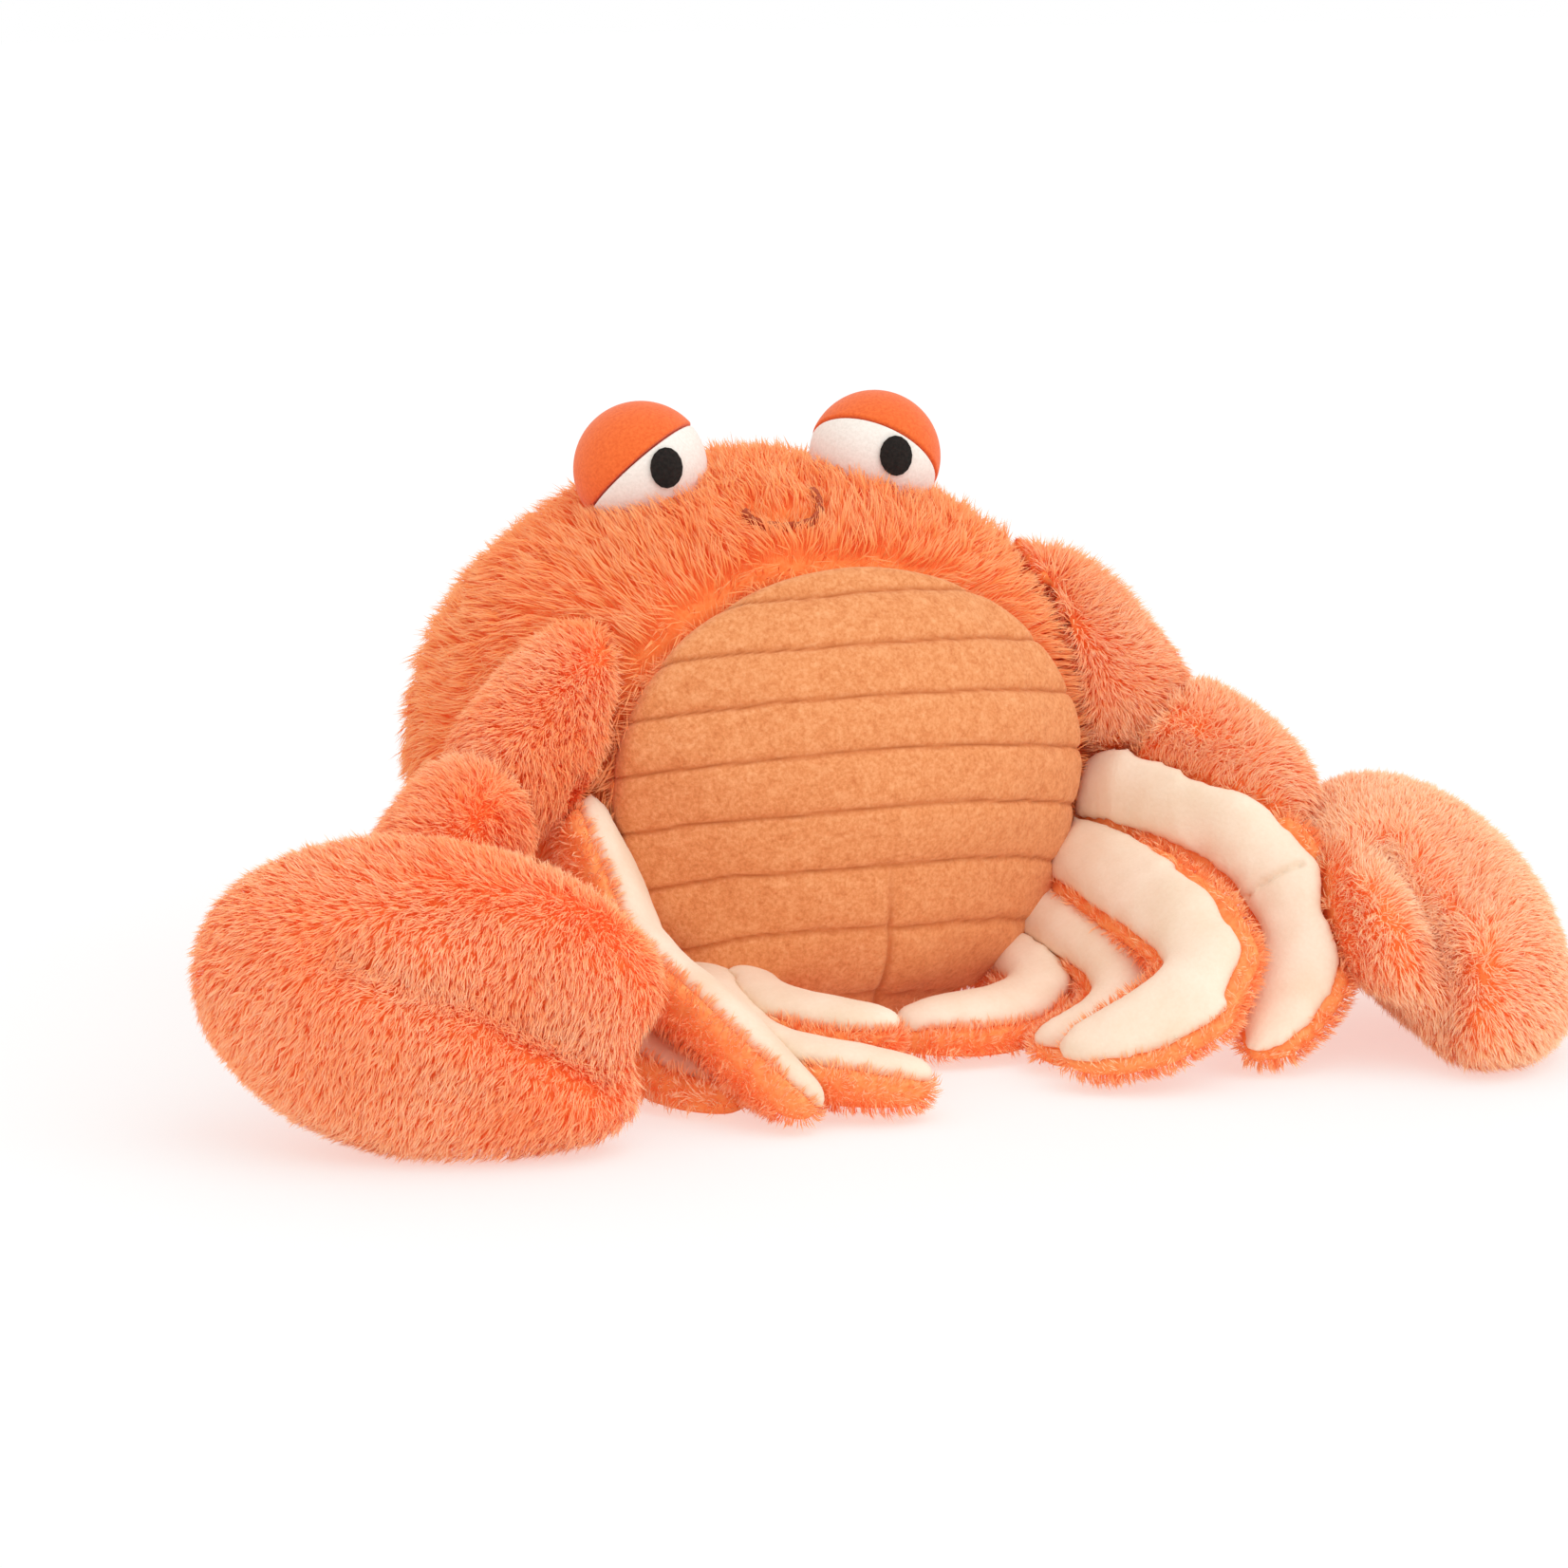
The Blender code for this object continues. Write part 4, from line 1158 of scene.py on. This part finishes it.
# %% A disc on the body
panel_mesh = bmesh.new()
bmesh.ops.create_grid(panel_mesh, x_segments=190, y_segments=160, size=1.0)
square = np.array([v.co[:2] for v in panel_mesh.verts])
disc_x = square[:, 0] * np.sqrt(1 - square[:, 1] ** 2 / 2)
disc_y = square[:, 1] * np.sqrt(1 - square[:, 0] ** 2 / 2)
edge = np.hypot(disc_x, disc_y)
lower = np.clip(-disc_y, 0, 1)
x = BELLY_SIDE_SHIFT + disc_x * BELLY_HALF_WIDTH * (1 + 0.16 * lower * lower)
rise = disc_y * BELLY_HALF_HEIGHT * (1 + 0.06 * lower) - BELLY_DROP
surface = front_of_body(x, rise)
out = unit((surface - BODY_CENTRE) / BODY_HALF ** 2)
print("points of the belly:", len(surface))

# %% Bands and sewn lines
waver = 0.0005 * soft_noise(surface, 0.035, 7) + 0.00015 * soft_noise(surface, 0.006, 8)
first_line = BELLY_HALF_HEIGHT - BELLY_DROP - BAND_PITCH * 0.65
from_line = (rise + waver - first_line) / BAND_PITCH
near_line = np.abs(from_line - np.round(from_line)) * BAND_PITCH
band_bulge = 1 - np.abs(1 - 2 * near_line / BAND_PITCH) ** 3
line_cut = fade(near_line, 0.0005)
line_dip = fade(near_line, 0.0020)
pucker = np.exp(-(near_line / 0.004)) * soft_noise(surface * np.array([1, 0.25, 0.25]), 0.0022, 9)
lumps = soft_noise(surface, 0.012, 10)
height = 0.0016 + 0.0004 * band_bulge - 0.0007 * line_cut - 0.0005 * line_dip
height += 0.00020 * pucker + 0.00030 * lumps
print("bands:", int(from_line.max() - from_line.min()), "lines", BAND_PITCH * 1000, "mm apart")

# %% The seam below, and the edge
seam_at = on_part(926, 985, "belly_panel")
seam_run = np.clip((0.065 - surface[:, 2]) / 0.03, 0, 1)
seam_near = np.abs(x - seam_at.x + 0.0006 * soft_noise(surface, 0.02, 12))
seam_dip = 0.0008 * fade(seam_near, 0.0006) + 0.0005 * fade(seam_near, 0.003)
height -= seam_run * seam_dip
line_cut = np.maximum(line_cut, seam_run * fade(seam_near, 0.0008))
height -= 0.0042 * np.clip((edge - 0.93) / 0.07, 0, 1) ** 2.2
placed = surface + out * height[:, None]
for vertex, place in zip(panel_mesh.verts, placed):
    vertex.co = place
print("the belly stands", height.max() * 1000, "mm proud at most")

# %% Close the belly's back
rim_edges = [e for e in panel_mesh.edges if e.is_boundary]
wall = bmesh.ops.extrude_edge_only(panel_mesh, edges=rim_edges)
wall_verts = [g for g in wall["geom"] if isinstance(g, bmesh.types.BMVert)]
for vertex in wall_verts:
    inward = Vector((np.array(vertex.co) - BODY_CENTRE) / BODY_HALF ** 2).normalized()
    vertex.co -= inward * 0.0015
bmesh.ops.holes_fill(panel_mesh, edges=[e for e in panel_mesh.edges if e.is_boundary], sides=0)
bmesh.ops.triangulate(panel_mesh, faces=[f for f in panel_mesh.faces if len(f.verts) > 4])
bmesh.ops.recalc_face_normals(panel_mesh, faces=panel_mesh.faces)
panel = link_bmesh("belly_plush", panel_mesh)
panel.data.shade_smooth()
# The sewn lines are kept as an attribute, which darkens the plush there as painted shade in the grooves.
depth = panel.data.attributes.new("sewn_line_shade", "FLOAT", "POINT")
values = np.zeros(len(panel.data.vertices), dtype=np.float32)
values[:len(line_cut)] = line_cut
depth.data.foreach_set("value", values)

print("the belly's sewn lines are in the attribute sewn_line_shade")

# %% Short plush
# Short knitted plush: a matt, dense nap in tiny clumps, mottled between tan and peach, and
# darker in the sewn lines, which is painted shade in the grooves. The clumps are drawn at 1.1
# and 3.2 mm.
plush, plush_shader = new_material("Short knitted polyester plush", roughness=0.9, sheen=0.3,
                                   sheen_tint="#ffe0bc", specular=0.15)
fine = grain(plush, size=0.0011, detail=5.0, uneven=0.65)
broad = grain(plush, size=0.0032, detail=3.0)
mixed = add_node(plush, "Math", {"operation": "MULTIPLY_ADD"}, {1: 0.5}, {0: broad, 2: fine})
plush_colour = ramp_node(plush, mixed.outputs[0], [(0.5, "#d27c48"), (0.72, "#e4935c"), (1.0, "#f4ac78")])
line = add_node(plush, "Attribute", {"attribute_name": "sewn_line_shade"})
plush_mix = add_node(plush, "Mix", {"data_type": "RGBA"}, {7: linear("#cc7440")},
                     {0: line.outputs["Fac"], 6: plush_colour.outputs[0]})
feed(plush, plush_shader, plush_mix.outputs[2], fine, strength=0.7, depth=0.0006)
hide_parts("belly_panel")
finish_piece(panel, plush)

# %% [markdown]
# ## The eyes
# Each eye is a stuffed ball sewn from a white half and an orange lid half. One ball with two
# colours would have no seam. A ball is cut with a plane instead, its flat side is closed and its
# rim rounded, and the two halves meet in a fine groove, as two sewn caps do.

# %% Suede for the eyes
EYE_RADIUS = 0.0188

# Orange suede, brushed: flat in colour and deeper than the pile, so that the lids stand out.
lid_suede = cloth_material("Orange polyester suede", "#e4632a", "#f27336")
# Off-white suede: warm rather than pure white, because a pure white would clip in the light.
white_suede = cloth_material("Off-white polyester suede", "#ebe6de", "#f5f1ea")
# Satin stitches of black thread: nearly black, with a grain that takes a little light.
black_thread = cloth_material("Black polyester thread, satin stitched", "#14110f", "#26201d")
print("eye cloths:", lid_suede.name, white_suede.name, black_thread.name)


# %% Half of an eye
def half_eye(name, centre, facing, radius):
    """Half of a stuffed ball: its flat side is closed, and its rim is rounded."""
    mesh_data = bmesh.new()
    bmesh.ops.create_uvsphere(mesh_data, u_segments=64, v_segments=48, radius=radius)
    turn = facing.to_track_quat("Z", "Y").to_matrix().to_4x4()
    everything = list(mesh_data.verts) + list(mesh_data.edges) + list(mesh_data.faces)
    cut = bmesh.ops.bisect_plane(mesh_data, geom=everything, plane_co=(0, 0, 0.0003), plane_no=(0, 0, 1),
                                 clear_inner=True)
    rim = [g for g in cut["geom_cut"] if isinstance(g, bmesh.types.BMEdge)]
    bmesh.ops.holes_fill(mesh_data, edges=rim, sides=0)
    bmesh.ops.bevel(mesh_data, geom=rim, affect="EDGES", offset=0.0006, segments=3, profile=0.5, material=-1)
    bmesh.ops.transform(mesh_data, matrix=Matrix.Translation(centre) @ turn, verts=mesh_data.verts)
    bmesh.ops.recalc_face_normals(mesh_data, faces=mesh_data.faces)
    piece = link_bmesh(name, mesh_data)
    piece.data.shade_smooth()
    return piece


print("an eye is", 2 * EYE_RADIUS * 1000, "mm across")

# %% Both eyes
# The balls stand where the CAD model has them. A lid faces up, back and outwards.
for side, sign in (("left", 1), ("right", -1)):
    centre = Vector((sign * 0.0355, -0.006, 0.1565))
    lid_way = Vector((sign * 0.53, 0.44, 0.72)).normalized()
    lid = half_eye(f"eyelid_{side}_suede", centre, lid_way, EYE_RADIUS + 0.0003)
    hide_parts(f"eyelid_{side}")
    finish_piece(lid, lid_suede)
    white = half_eye(f"eye_white_{side}_suede", centre, -lid_way, EYE_RADIUS)
    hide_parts(f"eye_white_{side}")
    finish_piece(white, white_suede)
    pupil = nodes[f"pupil_{side}"]
    pupil.data.materials.clear()
    pupil.data.materials.append(black_thread)

print("pupils keep their own solids, in black thread")
